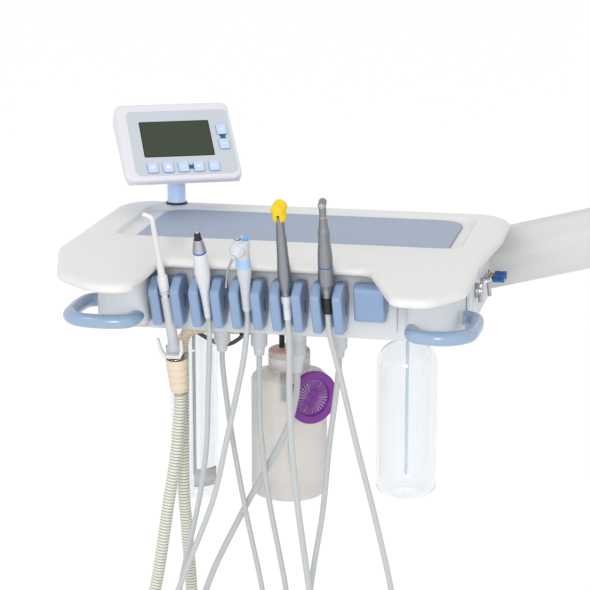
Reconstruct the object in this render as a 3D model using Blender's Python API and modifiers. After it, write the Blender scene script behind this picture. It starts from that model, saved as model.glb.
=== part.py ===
"""Dental delivery head with a motor console, five instruments on hoses and its balanced arm.

World axes: X to the operator's right, Y towards the arm, Z up, in metres. The world origin is the
centre of the arm bracket's flat flange face, where the whole unit is bolted up. The head has its own
frame: x = 0 on the tray's middle line and z = 0 on the tray's rim.
"""

import math

import bmesh
import bpy
from mathutils import Matrix, Vector

# ---------------------------------------------------------------- driving dimensions (metres)
GAP = 0.0003  # clearance between pieces that touch

ARM_LENGTH = 0.500  # between the pivots of the upper link
ARM_SLOPE = math.radians(14.6)  # the arm rises from the head to its base
ARM_HALF_WIDTH = 0.032
ARM_END = 0.022  # each link runs this far past its pivots
SKIRT_FROM_PIVOT = 0.045  # the cover's sides hang past the lower link, this far clear of each pivot
LINK_DROP = 0.0424  # the lower pivots hang this far below the upper ones
PIN_RADIUS = 0.006
SMALL_PIN_RADIUS = 0.0025
CHEEK_THICKNESS = 0.008
SWING_OFFSET = 0.070  # the upright axes stand this far beyond the arm's pivots
FLANGE_REACH = 0.132  # from the rear pivot to the flange face
FLANGE_DROP = 0.018
FLANGE_THICKNESS = 0.012

FRONT_PIVOT = Vector((0.100, 0.285, -0.115))  # head frame
REAR_PIVOT = FRONT_PIVOT + ARM_LENGTH * Vector((math.cos(ARM_SLOPE), 0, math.sin(ARM_SLOPE)))
HEAD_AT = -(REAR_PIVOT + Vector((FLANGE_REACH, 0, -FLANGE_DROP)))

TRAY_THICKNESS = 0.014
RECESS_DEPTH = 0.008
MAT_THICKNESS = 0.0025
BODY_TOP = -TRAY_THICKNESS - GAP
BODY_BOTTOM = -0.112
BODY_LEFT, BODY_RIGHT = -0.250, 0.266
BODY_FRONT, BODY_REAR = -0.115, 0.190
EAR_FRONT, EAR_BOTTOM = -0.180, -0.094
WALL = 0.003
PANEL_HALF = 0.177
PANEL_THICKNESS = 0.005
SIDE_PLATE_THICKNESS = 0.004

HOLDER_PITCH = 0.057
FIRST_SLOT_X = -0.140
HOLDER_COUNT = 5
HOLDER_HALF = 0.022
SLOT_HALF = 0.0083
SLOT_Y, SLOT_Z = -0.165, -0.062  # where each instrument's axis crosses its slot

HANDLE_RADIUS = 0.010
HANDLE_Z = -0.081
SOCKET_RADIUS = HANDLE_RADIUS + 2 * GAP

POST_AT = (-0.222, 0.215)
POST_RADIUS = 0.014
TILT_AXIS_Z = 0.064
CONSOLE_YAW = math.radians(23.5)
CONSOLE_TILT = math.radians(55)  # the face leans this far back from upright
FACE_HALF_WIDTH, FACE_LOW, FACE_HIGH = 0.089, -0.077, 0.0915
FACE_OUT = 0.045  # the face stands this far in front of the tilt axis
SPLIT_LOW, SPLIT_HIGH = 0.0335, 0.0040  # how far out the two shells meet, at the face's low and high edges
SCREEN_HALF = (0.053, 0.037)
SCREEN_AT = (-0.0018, 0.008)
KEY_HALF = (0.0078, 0.0106)
KEY_FLOOR = 0.0015  # depth of each key's pocket
KEY_PITCH = 0.0235
KEY_ROW = (-0.0465, -0.0530)
KEY_COLUMN_X = 0.0700
ROW_KEYS = ("key_program", "key_home", "key_less", "key_more", "key_set")
COLUMN_KEYS = {"key_up": 0.0240, "key_down": -0.0075}

BOTTLE_WALL = 0.0024
BOTTLES = {  # x, y, radius, bottom z, shoulder z, shoulder rounding, rise of the neck, neck radius
    "bottle_water": (0.1695, 0.030, 0.0445, -0.383, -0.150, 0.036, 0.010, 0.016),
    "bottle_coolant": (-0.0062, 0.030, 0.0560, -0.393, -0.2065, 0.011, 0.004, 0.027),
    "bottle_waste": (-0.1510, 0.030, 0.0360, -0.407, -0.160, 0.018, 0.016, 0.016),
}
CAP_TOP = {"bottle_water": -0.1130, "bottle_coolant": -0.1700, "bottle_waste": -0.1130}
CAP_DEPTH = {"bottle_water": 0.022, "bottle_coolant": 0.030, "bottle_waste": 0.022}
DISC_HEADING = math.radians(41)
DISC_Z = -0.2290

GLAND_Y = -0.095
GLAND_X = {"scaler": -0.078, "syringe": -0.024, "turbine": 0.031, "motor": 0.091}
GLAND_DEPTH = {"scaler": 0.033, "syringe": 0.036, "turbine": 0.058, "motor": 0.033}

# the direction that each instrument's tip points in, in slot order
TIP_DIRECTIONS = {
    "suction": (-0.0068, -0.4540, 0.8910),
    "scaler": (0.0054, -0.4226, 0.9063),
    "syringe": (0.0378, -0.4223, 0.9057),
    "turbine": (-0.0200, -0.2588, 0.9657),
    "motor": (-0.0090, -0.2249, 0.9743),
}

BUTTON_X = {"syringe_button_air": -0.0053, "syringe_button_water": 0.0053}
BUTTON_RADIUS = 0.0040
BALL_AT, BALL_RADIUS = Vector((-0.0048, -0.0058, 0.1045)), 0.0118  # the knob that the syringe's nozzle comes out of

# where each instrument's own body ends along its axis, below its slot
TAIL_ENDS = {"scaler": -0.020, "syringe": -0.0035, "turbine": -0.0145, "motor": -0.0025}
CUFF_START, CUFF_END = Vector((-0.1381, -0.1192, -0.1545)), Vector((-0.1370, -0.1120, -0.2030))
PIPE_END = Vector((-0.1420, -0.0700, -0.1560))
STRAIGHT = 0.014  # a hose leaves its fitting straight for about this far

# route points of the free hoses in the head frame, between their two straight ends
HOSE_RADII = {"suction": 0.0092, "scaler": 0.0038, "syringe": 0.0040, "turbine": 0.0046, "motor": 0.0042}
HOSE_ROUTES = {
    "suction": [
        (-0.1385, -0.1090, -0.2430), (-0.1440, -0.1095, -0.3000),
        (-0.1540, -0.1100, -0.3620), (-0.1730, -0.1090, -0.4830), (-0.1920, -0.1050, -0.5800),
        (-0.1880, -0.0900, -0.6600), (-0.1580, -0.0650, -0.6900), (-0.1380, -0.0450, -0.6300),
        (-0.1400, -0.0430, -0.5300), (-0.1425, -0.0550, -0.4400), (-0.1440, -0.0660, -0.3670),
        (-0.1430, -0.0690, -0.2600)],
    "scaler": [
        (-0.0838, -0.1462, -0.1150), (-0.0870, -0.1450, -0.1950),
        (-0.0900, -0.1450, -0.2720), (-0.1010, -0.1450, -0.3500), (-0.1300, -0.1450, -0.4830),
        (-0.1500, -0.1430, -0.6100), (-0.1300, -0.1360, -0.7100), (-0.0720, -0.1220, -0.7400),
        (-0.0180, -0.1080, -0.6900), (-0.0050, -0.1010, -0.6000), (-0.0200, -0.0980, -0.5020),
        (-0.0450, -0.0960, -0.3810), (-0.0660, -0.0950, -0.2610), (-0.0755, -0.0950, -0.1870)],
    "syringe": [
        (-0.0292, -0.1540, -0.1050), (-0.0335, -0.1550, -0.1420),
        (-0.0450, -0.1580, -0.2000), (-0.0570, -0.1600, -0.2570), (-0.0770, -0.1600, -0.3450),
        (-0.1120, -0.1600, -0.4400), (-0.1480, -0.1600, -0.5400), (-0.1640, -0.1580, -0.6400),
        (-0.1380, -0.1520, -0.7350), (-0.0680, -0.1400, -0.7700), (0.0080, -0.1220, -0.7300),
        (0.0330, -0.1100, -0.6200), (0.0170, -0.1050, -0.4990), (-0.0110, -0.1020, -0.3480),
        (-0.0220, -0.0980, -0.2560), (-0.0240, -0.0950, -0.1870)],
    "turbine": [
        (0.0318, -0.1545, -0.1100), (0.0318, -0.1530, -0.1930),
        (0.0350, -0.1520, -0.2660), (0.0420, -0.1520, -0.3400), (0.0600, -0.1520, -0.4740),
        (0.0800, -0.1500, -0.6200), (0.0640, -0.1440, -0.7500), (-0.0250, -0.1200, -0.8100),
        (-0.1130, -0.0950, -0.7500), (-0.1320, -0.0840, -0.6300), (-0.1080, -0.0820, -0.5140),
        (-0.0550, -0.0830, -0.3950), (-0.0120, -0.0860, -0.3130), (0.0160, -0.0900, -0.2550),
        (0.0290, -0.0950, -0.2080)],
    "motor": [
        (0.0905, -0.1570, -0.1020), (0.0975, -0.1550, -0.1300),
        (0.1120, -0.1550, -0.1900), (0.1290, -0.1550, -0.2610), (0.1550, -0.1550, -0.3620),
        (0.1790, -0.1540, -0.4700), (0.1970, -0.1500, -0.6000), (0.1840, -0.1420, -0.7100),
        (0.1230, -0.1240, -0.7500), (0.0620, -0.1060, -0.7000), (0.0440, -0.0990, -0.6000),
        (0.0510, -0.0970, -0.4960), (0.0690, -0.0960, -0.3730), (0.0770, -0.0950, -0.2820),
        (0.0870, -0.0950, -0.2000)],
}
HOSE_POINTS = {"suction": 34, "scaler": 44, "syringe": 44, "turbine": 44, "motor": 42}

VALVE_PLACES = ((0.068, -0.067), (0.099, -0.071), (0.129, -0.075), (0.160, -0.077))  # y, z on the side plate

# colour (sRGB), roughness, metallic
FINISHES = {
    "white_plastic": ((0.90, 0.90, 0.89), 0.35, 0.0),
    "panel_white": ((0.87, 0.89, 0.91), 0.35, 0.0),
    "holder_blue": ((0.55, 0.65, 0.79), 0.35, 0.0),
    "mat_blue": ((0.64, 0.69, 0.78), 0.60, 0.0),
    "post_blue": ((0.63, 0.73, 0.87), 0.35, 0.0),
    "screen_olive": ((0.31, 0.35, 0.31), 0.25, 0.0),
    "key_blue": ((0.71, 0.78, 0.89), 0.45, 0.0),
    "brushed_metal": ((0.60, 0.60, 0.61), 0.35, 1.0),
    "chrome": ((0.80, 0.80, 0.81), 0.15, 1.0),
    "hose_grey": ((0.79, 0.80, 0.80), 0.55, 0.0),
    "hose_cream": ((0.88, 0.88, 0.82), 0.55, 0.0),
    "cuff_cream": ((0.91, 0.86, 0.76), 0.50, 0.0),
    "purple": ((0.41, 0.18, 0.51), 0.50, 0.0),
    "cap_yellow": ((0.92, 0.76, 0.04), 0.50, 0.0),
    "knob_blue": ((0.12, 0.29, 0.55), 0.45, 0.0),
    "clear": ((0.90, 0.93, 0.95), 0.10, 0.0),
    "milky": ((0.88, 0.87, 0.85), 0.40, 0.0),
    "dark_rubber": ((0.15, 0.15, 0.16), 0.60, 0.0),
}


# ---------------------------------------------------------------- scene helpers
def clear_scene():
    for obj in list(bpy.data.objects):
        bpy.data.objects.remove(obj, do_unlink=True)


def new_collection(name, is_helper=False):
    collection = bpy.data.collections.new(name)
    collection.hide_render = is_helper
    bpy.context.scene.collection.children.link(collection)
    return collection


def linear(value):
    return value / 12.92 if value <= 0.04045 else ((value + 0.055) / 1.055) ** 2.4


def finish_material(name):
    material = bpy.data.materials.get(name)
    if material is None:
        colour, roughness, metallic = FINISHES[name]
        material = bpy.data.materials.new(name)
        material.use_nodes = True
        shader = material.node_tree.nodes["Principled BSDF"]
        shader.inputs["Base Color"].default_value = (*(linear(value) for value in colour), 1)
        shader.inputs["Roughness"].default_value = roughness
        shader.inputs["Metallic"].default_value = metallic
    return material


def empty(name, place, parent=None, turn=None):
    """A frame for the pieces that share it. turn is a rotation matrix."""
    obj = bpy.data.objects.new(name, None)
    obj.empty_display_size = 0.02
    obj.matrix_local = Matrix.Translation(place) @ (turn or Matrix()).to_4x4()
    obj.parent = parent
    PARTS.objects.link(obj)
    return obj


def aimed(direction, across=(1, 0, 0)):
    """The rotation whose Z runs along the direction and whose X stays close to across."""
    z = Vector(direction).normalized()
    y = z.cross(Vector(across)).normalized()
    return Matrix((y.cross(z), y, z)).transposed()


def keep(obj, name, finish, parent):
    """Names a finished shape, gives it its material and puts it among the parts."""
    obj.name = name
    obj.data.materials.clear()
    obj.data.materials.append(finish_material(finish))
    obj.parent = parent
    PARTS.objects.link(obj)
    if obj.type == "MESH":
        obj.data.shade_smooth()
        obj.data.set_sharp_from_angle(angle=math.radians(35))
    return obj


def helper(obj, parent):
    """A cutter or a piece that a Boolean adds."""
    obj.parent = parent
    obj.hide_render = True
    obj.display_type = "WIRE"
    CUTTERS.objects.link(obj)
    return obj


def boolean(obj, other, operation):
    helper(other, obj)
    modifier = obj.modifiers.new(operation.lower(), "BOOLEAN")
    modifier.operation = operation
    modifier.object = other
    modifier.solver = "EXACT"


def cut(obj, *cutters):
    for cutter in cutters:
        boolean(obj, cutter, "DIFFERENCE")
    return obj


def join(obj, *others):
    for other in others:
        boolean(obj, other, "UNION")
    return obj


def bevel(obj, width, segments=2, angle=40):
    modifier = obj.modifiers.new("bevel", "BEVEL")
    modifier.width = width
    modifier.segments = segments
    modifier.limit_method = "ANGLE"
    modifier.angle_limit = math.radians(angle)
    return obj


# ---------------------------------------------------------------- shapes
def mesh_object(bm, name="shape"):
    mesh = bpy.data.meshes.new(name)
    bm.to_mesh(mesh)
    bm.free()
    return bpy.data.objects.new(name, mesh)


def block(low, high):
    """A box between two corners."""
    low, high = Vector(low), Vector(high)
    bm = bmesh.new()
    bmesh.ops.create_cube(bm, size=1)
    bmesh.ops.scale(bm, vec=high - low, verts=bm.verts)
    bmesh.ops.translate(bm, vec=(low + high) / 2, verts=bm.verts)
    return mesh_object(bm)


def rod(start, end, radius, end_radius=None, sides=16):
    """A cylinder or cone between two points."""
    start, end = Vector(start), Vector(end)
    bm = bmesh.new()
    bmesh.ops.create_cone(
        bm, cap_ends=True, segments=sides, radius1=radius, radius2=end_radius or radius,
        depth=(end - start).length)
    turn = aimed(end - start, (1, 0, 0) if abs((end - start).normalized().x) < 0.9 else (0, 1, 0))
    bmesh.ops.transform(bm, matrix=Matrix.Translation((start + end) / 2) @ turn.to_4x4(), verts=bm.verts)
    return mesh_object(bm)


def turned(profile, steps=20):
    """A shape of revolution about Z from (radius, z) points that run down its outer side."""
    bm = bmesh.new()
    points = [bm.verts.new((radius, 0, z)) for radius, z in profile]
    for first, second in zip(points, points[1:]):
        bm.edges.new((first, second))
    obj = mesh_object(bm)
    screw = obj.modifiers.new("turn", "SCREW")
    screw.steps = steps
    screw.render_steps = steps
    screw.use_merge_vertices = True
    screw.merge_threshold = 1e-5
    return obj


def at(obj, place):
    obj.location = place
    return obj


def solid_from_curve(curve_object):
    """The mesh of a curve object, with its caps joined on."""
    PARTS.objects.link(curve_object)
    graph = bpy.context.evaluated_depsgraph_get()
    mesh = bpy.data.meshes.new_from_object(curve_object.evaluated_get(graph))
    bm = bmesh.new()
    bm.from_mesh(mesh)
    bmesh.ops.remove_doubles(bm, verts=bm.verts, dist=1e-5)
    bmesh.ops.recalc_face_normals(bm, faces=bm.faces)
    bpy.data.objects.remove(curve_object, do_unlink=True)
    bpy.data.meshes.remove(mesh)
    return mesh_object(bm)


def slab(outline, low, high):
    """A flat outline in X and Y with a thickness from low to high."""
    curve = bpy.data.curves.new("outline", "CURVE")
    curve.dimensions = "2D"
    curve.fill_mode = "BOTH"
    curve.extrude = (high - low) / 2
    spline = curve.splines.new("POLY")
    spline.points.add(len(outline) - 1)
    for point, (x, y) in zip(spline.points, outline):
        point.co = (x, y, 0, 1)
    spline.use_cyclic_u = True
    obj = solid_from_curve(bpy.data.objects.new("outline", curve))
    obj.data.transform(Matrix.Translation((0, 0, (low + high) / 2)))
    return obj


def side_slab(outline, low, high):
    """An outline given as (y, z) with a thickness along X."""
    obj = slab(outline, low, high)
    obj.data.transform(Matrix(((0, 0, 1, 0), (1, 0, 0, 0), (0, 1, 0, 0), (0, 0, 0, 1))))
    return obj


def face_slab(outline, low, high):
    """An outline given as (x, z) with a thickness along Y."""
    obj = slab(outline, -high, -low)
    obj.data.transform(Matrix(((1, 0, 0, 0), (0, 0, -1, 0), (0, 1, 0, 0), (0, 0, 0, 1))))
    return obj


def tube(points, radius, resolution=2):
    """A round tube along a line of points."""
    curve = bpy.data.curves.new("tube", "CURVE")
    curve.dimensions = "3D"
    curve.bevel_depth = radius
    curve.bevel_resolution = resolution
    curve.use_fill_caps = True
    spline = curve.splines.new("POLY")
    spline.points.add(len(points) - 1)
    for point, place in zip(spline.points, points):
        point.co = (*place, 1)
    return bpy.data.objects.new("tube", curve)


def rounded(corners, steps=5):
    """An outline whose corners (x, y, radius) are rounded with arcs."""
    outline = []
    count = len(corners)
    for index, (x, y, radius) in enumerate(corners):
        here = Vector((x, y))
        before = (Vector(corners[index - 1][:2]) - here).normalized()
        after = (Vector(corners[(index + 1) % count][:2]) - here).normalized()
        if radius == 0:
            outline.append((x, y))
            continue
        half = before.angle(after) / 2
        reach = radius / math.tan(half)
        centre = here + (before + after).normalized() * (radius / math.sin(half))
        first = here + before * reach - centre
        last = here + after * reach - centre
        sweep = first.angle_signed(last)
        for step in range(steps + 1):
            spoke = first.copy()
            spoke.rotate(Matrix.Rotation(-sweep * step / steps, 2))
            outline.append(tuple(centre + spoke))
    return outline


def box_corners(left, right, low, high, radius):
    return [(left, low, radius), (right, low, radius), (right, high, radius), (left, high, radius)]


def smooth_route(points, count, end_step=0.004):
    """count points on a smooth curve through the route points: a short step at each end, even ones between."""
    points = [Vector(point) for point in points]
    ends = [2 * points[0] - points[1]] + points + [2 * points[-1] - points[-2]]
    fine = []
    for a, b, c, d in zip(ends, ends[1:], ends[2:], ends[3:]):
        knots = [0]
        for first, second in ((a, b), (b, c), (c, d)):
            knots.append(knots[-1] + (second - first).length ** 0.5)
        t0, t1, t2, t3 = knots
        for step in range(24):
            t = t1 + (t2 - t1) * step / 24
            ab = a.lerp(b, (t - t0) / (t1 - t0))
            bc = b.lerp(c, (t - t1) / (t2 - t1))
            cd = c.lerp(d, (t - t2) / (t3 - t2))
            abc = ab.lerp(bc, (t - t0) / (t2 - t0))
            bcd = bc.lerp(cd, (t - t1) / (t3 - t1))
            fine.append(abc.lerp(bcd, (t - t1) / (t2 - t1)))
    fine.append(points[-1])
    lengths = [0]
    for first, second in zip(fine, fine[1:]):
        lengths.append(lengths[-1] + (second - first).length)
    inner = lengths[-1] - 2 * end_step
    targets = [0] + [end_step + inner * number / (count - 3) for number in range(count - 2)] + [lengths[-1]]
    route = []
    index = 0
    for target in targets:
        while index < len(lengths) - 2 and lengths[index + 1] < target:
            index += 1
        share = (target - lengths[index]) / (lengths[index + 1] - lengths[index])
        route.append(fine[index].lerp(fine[index + 1], min(share, 1)))
    return route


# ---------------------------------------------------------------- the head's housing
def tray_outline():
    return rounded([
        (-0.307, 0.237, 0.055), (-0.312, -0.110, 0.090), (-0.268, -0.262, 0.075), (-0.213, -0.312, 0.040),
        (-0.192, -0.318, 0.020),
        (-0.150, -0.318, 0.026), (-0.150, -0.156, 0.018), (0.143, -0.156, 0.020), (0.199, -0.318, 0.022),
        (0.249, -0.322, 0.034), (0.290, -0.255, 0.045), (0.287, -0.080, 0.150), (0.300, 0.080, 0.150),
        (0.298, 0.237, 0.060)], 4)


def build_tray(head):
    tray = slab(tray_outline(), -TRAY_THICKNESS, 0)
    bevel(tray, 0.0055, 2)
    recess = slab(rounded(box_corners(-0.262, 0.252, -0.018, 0.205, 0.030)), -RECESS_DEPTH, 0.010)
    post_seat = rod((*POST_AT, -TRAY_THICKNESS - 0.01), (*POST_AT, 0.01), POST_RADIUS + GAP)
    keep(cut(tray, recess, post_seat), "tray_top", "white_plastic", head)
    mat = slab(
        rounded([(-0.230, -0.0165, 0.004), (0.230, -0.0165, 0.004), (0.230, 0.198, 0.038),
                 (-0.230, 0.198, 0.038)]),
        -RECESS_DEPTH + GAP, -RECESS_DEPTH + GAP + MAT_THICKNESS)
    keep(mat, "tray_mat", "mat_blue", head)


def build_body(head):
    outline = rounded([(BODY_LEFT, BODY_FRONT, 0.004), (BODY_RIGHT, BODY_FRONT, 0.004),
                       (BODY_RIGHT, BODY_REAR, 0.020), (BODY_LEFT, BODY_REAR, 0.020)], 4)
    body = slab(outline, BODY_BOTTOM, BODY_TOP)
    for left, right in ((-0.242, -0.168), (0.194, BODY_RIGHT - 0.001)):
        ear = rounded([(left, EAR_FRONT, 0.026), (right, EAR_FRONT, 0.026), (right, BODY_FRONT + 0.003, 0),
                       (left, BODY_FRONT + 0.003, 0)], 4)
        join(body, slab(ear, EAR_BOTTOM, BODY_TOP - 0.0002))
    inside = block(
        (BODY_LEFT + WALL, BODY_FRONT + 2 * WALL, BODY_BOTTOM - 0.01),
        (BODY_RIGHT - WALL, BODY_REAR - WALL, BODY_TOP - WALL))
    cut(body, inside)
    for inner, outer, wall_x in ((-0.182, -0.282, BODY_LEFT), (0.207, 0.283, BODY_RIGHT)):
        sign = math.copysign(1, wall_x)
        cut(body, rod((inner, EAR_FRONT - 0.02, HANDLE_Z), (inner, EAR_FRONT + 0.016, HANDLE_Z), SOCKET_RADIUS),
            rod((wall_x + sign * 0.02, -0.088, HANDLE_Z), (wall_x - sign * 0.010, -0.088, HANDLE_Z), SOCKET_RADIUS))
    keep(body, "body_shell", "panel_white", head)

    plate = block(
        (BODY_LEFT + WALL + GAP, BODY_FRONT + 2 * WALL + GAP, BODY_BOTTOM),
        (BODY_RIGHT - WALL - GAP, BODY_REAR - WALL - GAP, BODY_BOTTOM + WALL))
    keep(plate, "bottom_plate", "white_plastic", head)

    front = BODY_FRONT - GAP
    panel = block((-PANEL_HALF + 0.010, front - PANEL_THICKNESS, -0.101), (PANEL_HALF, front, -0.0175))
    keep(bevel(panel, 0.002), "front_panel", "panel_white", head)

    side = BODY_RIGHT + GAP
    plate = side_slab(
        rounded([(-0.068, -0.112, 0.003), (0.172, -0.112, 0.012), (0.172, -0.030, 0.006),
                 (-0.068, -0.030, 0.003)], 3),
        side, side + SIDE_PLATE_THICKNESS)
    keep(join(bevel(plate, 0.0012, 1), *valve_nuts()), "side_plate", "panel_white", head)

    # rear bracket: a web on the body's rear wall and an upright barrel for the swivel pin
    swivel_x = FRONT_PIVOT.x - SWING_OFFSET
    bracket = block((swivel_x - 0.045, BODY_REAR + GAP, -0.100), (swivel_x + 0.045, BODY_REAR + 0.010, -0.022))
    join(bracket,
         block((swivel_x - 0.014, BODY_REAR + 0.005, -0.068), (swivel_x + 0.014, FRONT_PIVOT.y, -0.024)),
         rod((swivel_x, FRONT_PIVOT.y, -0.071), (swivel_x, FRONT_PIVOT.y, -0.022), 0.022, sides=24))
    cut(bracket, rod((swivel_x, FRONT_PIVOT.y, -0.09), (swivel_x, FRONT_PIVOT.y, -0.01), 0.010 + GAP, sides=20))
    keep(bracket, "rear_bracket", "white_plastic", head)


def build_handles(head):
    """Each handle is a tube that starts in the lobe's column, bows forward and ends in the body's side."""
    for name, inner, outer, wall_x in (("handle_left", -0.182, -0.278, BODY_LEFT),
                                       ("handle_right", 0.207, 0.288, BODY_RIGHT)):
        sign = math.copysign(1, wall_x)
        route = [
            (inner, EAR_FRONT + 0.015, HANDLE_Z), (inner, EAR_FRONT + 0.004, HANDLE_Z),
            (inner, EAR_FRONT - 0.006, HANDLE_Z),
            (inner + sign * 0.006, -0.200, HANDLE_Z), (inner + sign * 0.024, -0.2075, HANDLE_Z),
            ((inner + outer) / 2, -0.209, HANDLE_Z), (outer - sign * 0.022, -0.2035, HANDLE_Z),
            (outer - sign * 0.004, -0.185, HANDLE_Z), (outer, -0.155, HANDLE_Z),
            (outer, -0.125, HANDLE_Z), (outer - sign * 0.004, -0.099, HANDLE_Z),
            (outer - sign * 0.014, -0.0885, HANDLE_Z), (wall_x + sign * 0.004, -0.088, HANDLE_Z),
            (wall_x - sign * 0.002, -0.088, HANDLE_Z), (wall_x - sign * 0.008, -0.088, HANDLE_Z)]
        keep(tube(smooth_route(route, 22), HANDLE_RADIUS, 2), name, "holder_blue", head)


def slot_place(index):
    return Vector((FIRST_SLOT_X + index * HOLDER_PITCH, SLOT_Y, SLOT_Z))


def holder_side():
    """A holder seen from its side, in y and z: it leans forward and its back meets the panel."""
    panel = BODY_FRONT - PANEL_THICKNESS - 2 * GAP
    return rounded([
        (-0.160, -0.096, 0.004), (-0.188, -0.039, 0.006), (-0.166, -0.0235, 0.010), (-0.142, -0.0235, 0.008),
        (panel, -0.046, 0), (panel, -0.078, 0), (-0.137, -0.096, 0.008)], 3)


def build_holders(head):
    for index in range(HOLDER_COUNT):
        x = slot_place(index).x
        holder = side_slab(holder_side(), x - HOLDER_HALF, x + HOLDER_HALF)
        bevel(holder, 0.0025, 1)
        slot = block((x - SLOT_HALF, -0.21, -0.12), (x + SLOT_HALF, -0.138, 0))
        mouth = block((-0.0095, -0.0095, -0.08), (0.0095, 0.0095, 0.08))
        mouth.data.transform(Matrix.Translation((x, -0.1900, -0.060)) @ Matrix.Rotation(math.radians(27), 4, "X")
                             @ Matrix.Rotation(math.radians(45), 4, "Z"))
        keep(cut(holder, slot, mouth), f"holder_{index + 1}", "holder_blue", head)
    cover = side_slab(
        rounded([(-0.151, -0.078, 0.004), (-0.166, -0.030, 0.004), (-0.150, -0.0225, 0.004),
                 (BODY_FRONT - PANEL_THICKNESS - 2 * GAP, -0.035, 0),
                 (BODY_FRONT - PANEL_THICKNESS - 2 * GAP, -0.070, 0), (-0.138, -0.081, 0.006)], 2),
        0.122, 0.165)
    keep(bevel(cover, 0.002, 1), "holder_blank", "holder_blue", head)


def valve_nuts():
    """The nuts screwed into the side plate, with the stems that the two knobs sit on."""
    side = BODY_RIGHT + 2 * GAP + SIDE_PLATE_THICKNESS
    nuts = [rod((side - 0.002, y, z), (side + 0.003, y, z), 0.0065, sides=6) for y, z in VALVE_PLACES]
    stems = [rod((side - 0.001, y, z), (side + 0.009, y, z), 0.0030, sides=12) for y, z in VALVE_PLACES[2:]]
    return nuts + stems


def build_side_fittings(head):
    """The knobs, the lever and the selector on the right side plate, each on its own axis."""
    side = BODY_RIGHT + 2 * GAP + SIDE_PLATE_THICKNESS
    start = side + 0.009 + GAP
    for name, (y, z) in zip(("knob_front", "knob_rear"), VALVE_PLACES[2:]):
        pivot = empty(name + "_axis", (start, y, z), head)
        knob = turned([(0, 0.0180), (0.0050, 0.0180), (0.0060, 0.0172), (0.0060, 0.0006), (0.0054, 0), (0, 0)], 14)
        knob.data.transform(Matrix.Rotation(math.radians(90), 4, "Y"))
        knob.modifiers["turn"].axis = "X"
        keep(knob, name, "knob_blue", pivot)

    pivot = empty("lever_axis", (side + 0.003 + GAP, *VALVE_PLACES[1]), head)
    lever = rod((0, 0, 0), (0.005, 0, 0), 0.0045, sides=12)
    join(lever, rod((0.0028, -0.001, 0), (0.0060, 0.003, -0.024), 0.0024, 0.0030, sides=10))
    keep(lever, "valve_lever", "brushed_metal", pivot)

    pivot = empty("selector_axis", (side, 0.004, -0.064), head)
    selector = rod((0, 0, 0), (0.004, 0, 0), 0.0110, sides=20)
    join(selector, rod((0.003, 0, 0), (0.010, 0, 0), 0.0060, sides=12),
         block((0.004, -0.0030, -0.0170), (0.010, 0.0030, 0.0100)))
    keep(selector, "selector_knob", "brushed_metal", pivot)


# ---------------------------------------------------------------- under the head
def build_underside(head):
    top = BODY_BOTTOM - GAP
    glands = block((-0.094, GLAND_Y - 0.013, top - 0.002), (0.107, GLAND_Y + 0.013, top))
    for key, x in GLAND_X.items():
        depth = GLAND_DEPTH[key]
        wide = 0.0130 if key == "turbine" else 0.0118
        gland = turned([(0, 0), (wide + 0.001, 0), (wide, -depth * 0.55), (wide - 0.0030, -depth * 0.68),
                        (HOSE_RADII[key] + 0.0032, -depth), (0, -depth)], 12)
        join(glands, at(gland, (x, GLAND_Y, top - 0.0005)))
    keep(glands, "hose_glands", "panel_white", head)

    pipe = [(-0.050, -0.055, -0.1225), (-0.090, -0.058, -0.1225), (-0.122, -0.062, -0.1230),
            (-0.137, -0.067, -0.1300), tuple(PIPE_END + Vector((0, 0, 0.010))), tuple(PIPE_END)]
    loop = [(-0.148, -0.040, -0.1160), (-0.138, -0.040, -0.1270), (-0.112, -0.042, -0.1430),
            (-0.085, -0.042, -0.1510), (-0.064, -0.040, -0.1400), (-0.055, -0.038, -0.1240)]
    pipes = block((-0.060, -0.064, -0.1310), (-0.046, -0.033, -0.1150))
    join(pipes, solid_from_curve(tube(smooth_route(pipe, 12), 0.0088, 2)),
         solid_from_curve(tube(smooth_route(loop, 14), 0.0030, 2)))
    keep(pipes, "under_pipes", "cuff_cream", head)


def bottle_profile(radius, low, shoulder, corner, rise, neck, top):
    """The wall of a bottle from the middle of its floor, up inside, over the lip and down outside."""
    wall = BOTTLE_WALL
    dome = [(radius, shoulder - corner), (radius - 0.12 * corner, shoulder - 0.5 * corner),
            (radius - 0.6 * corner, shoulder), (neck + 0.25 * rise, shoulder + 0.6 * rise), (neck, shoulder + rise)]
    toe = min(corner, 0.45 * radius)
    foot = [(radius - 0.7 * toe, low), (radius - 0.15 * toe, low + 0.35 * toe), (radius, low + toe)]
    outer = [(neck, top)] + dome[::-1] + foot[::-1] + [(0, low)]
    inner = [(0, low + wall)] + [(r - wall, z + wall) for r, z in foot]
    inner += [(r - wall, z - wall) for r, z in dome[:3]] + [(r - wall, z) for r, z in dome[3:]]
    return inner + [(neck - wall, top)] + outer


def build_bottles(head):
    rail_top = BODY_BOTTOM - GAP
    caps = block((-0.165, 0.020, rail_top - 0.0025), (0.184, 0.040, rail_top))
    for name, (x, y, radius, low, *shape, neck) in BOTTLES.items():
        pivot = empty(name + "_axis", (x, y, 0), head)
        cap_top, cap_depth = CAP_TOP[name], CAP_DEPTH[name]
        bottle = turned(bottle_profile(radius, low, *shape, neck, cap_top - cap_depth - GAP), 18)
        keep(bottle, name, "milky" if name == "bottle_coolant" else "clear", pivot)
        cap_radius = neck + 0.004
        tube_low = low - cap_top + 0.030
        cap = turned([(0, 0), (cap_radius - 0.003, 0), (cap_radius, -0.004), (cap_radius, -cap_depth),
                      (0.0025, -cap_depth), (0.0025, tube_low), (0, tube_low)], 14)
        join(caps, at(cap, (x, y, cap_top)))
    x, y = BOTTLES["bottle_coolant"][:2]
    join(caps, rod((x, y, CAP_TOP["bottle_coolant"] - 0.002), (x, y, rail_top - 0.001), 0.0045, sides=10))
    keep(caps, "bottle_caps", "white_plastic", head)


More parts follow.
